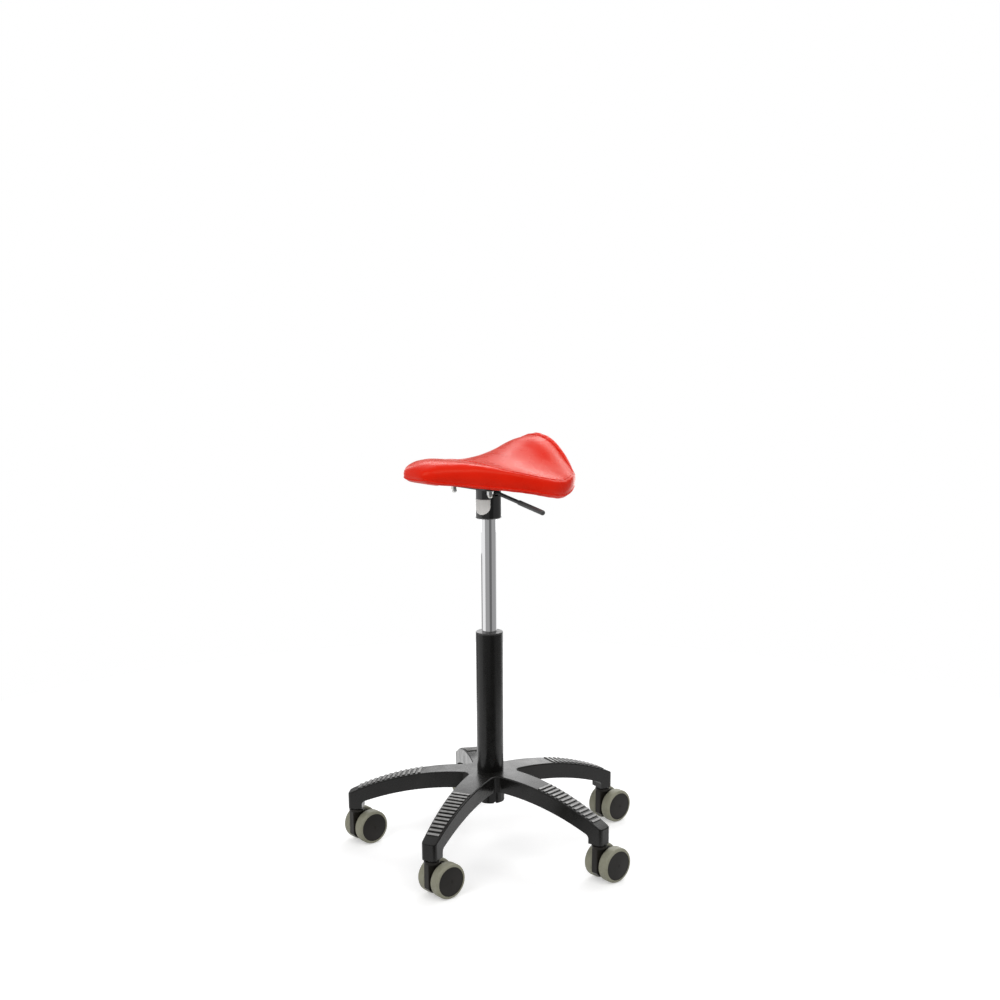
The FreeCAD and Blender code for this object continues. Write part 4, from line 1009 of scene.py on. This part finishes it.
def light_sky():
    """An even white sky, full white to the camera and to mirrors, softer as light."""
    world = bpy.data.worlds.new("studio_sky")
    bpy.context.scene.world = world
    tree, surface = empty_tree(world, "ShaderNodeOutputWorld")
    seen = grey_shader(tree, "ShaderNodeBackground", 1.0, Strength=1.0)
    lit = grey_shader(tree, "ShaderNodeBackground", 1.0, Strength=SKY_LIGHT)
    tree.links.new(emission_split(tree, seen, lit), surface)


def lay_floor():
    """A pale floor that shows white to the camera and keeps the stool's shadow."""
    work = bmesh.new()
    bmesh.ops.create_circle(work, cap_ends=True, segments=64, radius=FLOOR_RADIUS)
    paper = bpy.data.materials.new("studio_floor_paper")
    floor = new_piece("studio_floor", work, paper)
    floor.data.transform(Matrix.Translation((0.0, 0.0, -FLOOR_DROP)))
    tree, surface = empty_tree(paper)
    plain = grey_shader(tree, "ShaderNodeBsdfDiffuse", FLOOR_TONE)
    glow = grey_shader(tree, "ShaderNodeEmission", 1.0, Strength=FLOOR_GLOW)
    both = tree.nodes.new("ShaderNodeAddShader")
    tree.links.new(plain, both.inputs[0])
    tree.links.new(glow, both.inputs[1])
    tree.links.new(emission_split(tree, both.outputs[0], plain), surface)


def photo_place(right, away, high):
    """A place from the floor under the column, counted in the photograph's directions."""
    return PHOTO_RIGHT * right + PHOTO_AWAY * away + UP * high


def softbox(name, place, target, size, power):
    """A soft lamp, unseen itself, that faces the target."""
    lamp = bpy.data.lights.new(name, "AREA")
    lamp.shape = "RECTANGLE"
    lamp.size, lamp.size_y = size
    lamp.energy = power
    holder = bpy.data.objects.new(name, lamp)
    bpy.context.scene.collection.objects.link(holder)
    holder.visible_camera = False
    holder.location = place
    holder.rotation_euler = (target - place).to_track_quat("-Z", "Y").to_euler()


def mirror_card(name, work, tone):
    """Makes the work a flat grey or white card that only mirrors see."""
    paint = bpy.data.materials.new(name + "_paint")
    tree, surface = empty_tree(paint)
    tree.links.new(grey_shader(tree, "ShaderNodeEmission", tone), surface)
    card = new_piece(name, work, paint)
    card.visible_camera = False
    card.visible_diffuse = False
    card.visible_shadow = False
    card.visible_transmission = False


def curved_card(name, turns, heights, radius, tone):
    """A card that stands round the stool, from one turn and height to another."""
    work = bmesh.new()
    bmesh.ops.create_grid(work, x_segments=12, y_segments=1, size=1.0)
    for vert in work.verts:
        turn = math.radians(turns[0] + (turns[1] - turns[0]) * (vert.co.x + 1) / 2)
        spot = photo_place(radius * math.sin(turn), -radius * math.cos(turn), 0.0)
        vert.co = spot + UP * (heights[0] + (heights[1] - heights[0]) * (vert.co.y + 1) / 2)
    mirror_card(name, work, tone)


def floor_card():
    """A round card on the floor before the stool, which dulls what the flanks mirror."""
    work = bmesh.new()
    middle = Matrix.Translation(photo_place(*FLOOR_CARD_PLACE))
    bmesh.ops.create_circle(work, cap_ends=True, segments=32, radius=FLOOR_CARD_RADIUS,
                            matrix=middle)
    mirror_card("card_floor_front", work, FLOOR_CARD_TONE)


def set_lights():
    """The softboxes, and the cards that the gloss of the stool mirrors."""
    for name, (place, target_height, size, power) in SOFTBOXES.items():
        softbox(name, photo_place(*place), UP * target_height, size, power)
    for name, (turns, heights, radius, tone) in CARDS.items():
        curved_card(name, turns, heights, radius, tone)
    floor_card()


def set_camera():
    """The portrait's camera, tilted down, rolled a little and shifted as the photograph's is."""
    forward = PHOTO_AWAY * math.cos(CAMERA_TILT) - UP * math.sin(CAMERA_TILT)
    top = PHOTO_RIGHT.cross(forward)
    side = PHOTO_RIGHT * math.cos(CAMERA_ROLL) + top * math.sin(CAMERA_ROLL)
    head = top * math.cos(CAMERA_ROLL) - PHOTO_RIGHT * math.sin(CAMERA_ROLL)
    lens = bpy.data.cameras.new("portrait_camera")
    lens.lens = CAMERA_LENS
    lens.sensor_width = 36.0
    lens.shift_x, lens.shift_y = CAMERA_SHIFT
    lens.clip_start, lens.clip_end = 0.05, 60.0
    camera = bpy.data.objects.new("portrait_camera", lens)
    bpy.context.scene.collection.objects.link(camera)
    turn = Matrix((side, head, -forward)).transposed().to_4x4()
    camera.matrix_world = Matrix.Translation(photo_place(*CAMERA_PLACE)) @ turn
    bpy.context.scene.camera = camera


set_camera()
bpy.context.scene.view_settings.view_transform = "Standard"
light_sky()
lay_floor()
set_lights()
dress_solids()
seat_cover = make_cover()
make_seams(seat_cover)
make_blank_label()
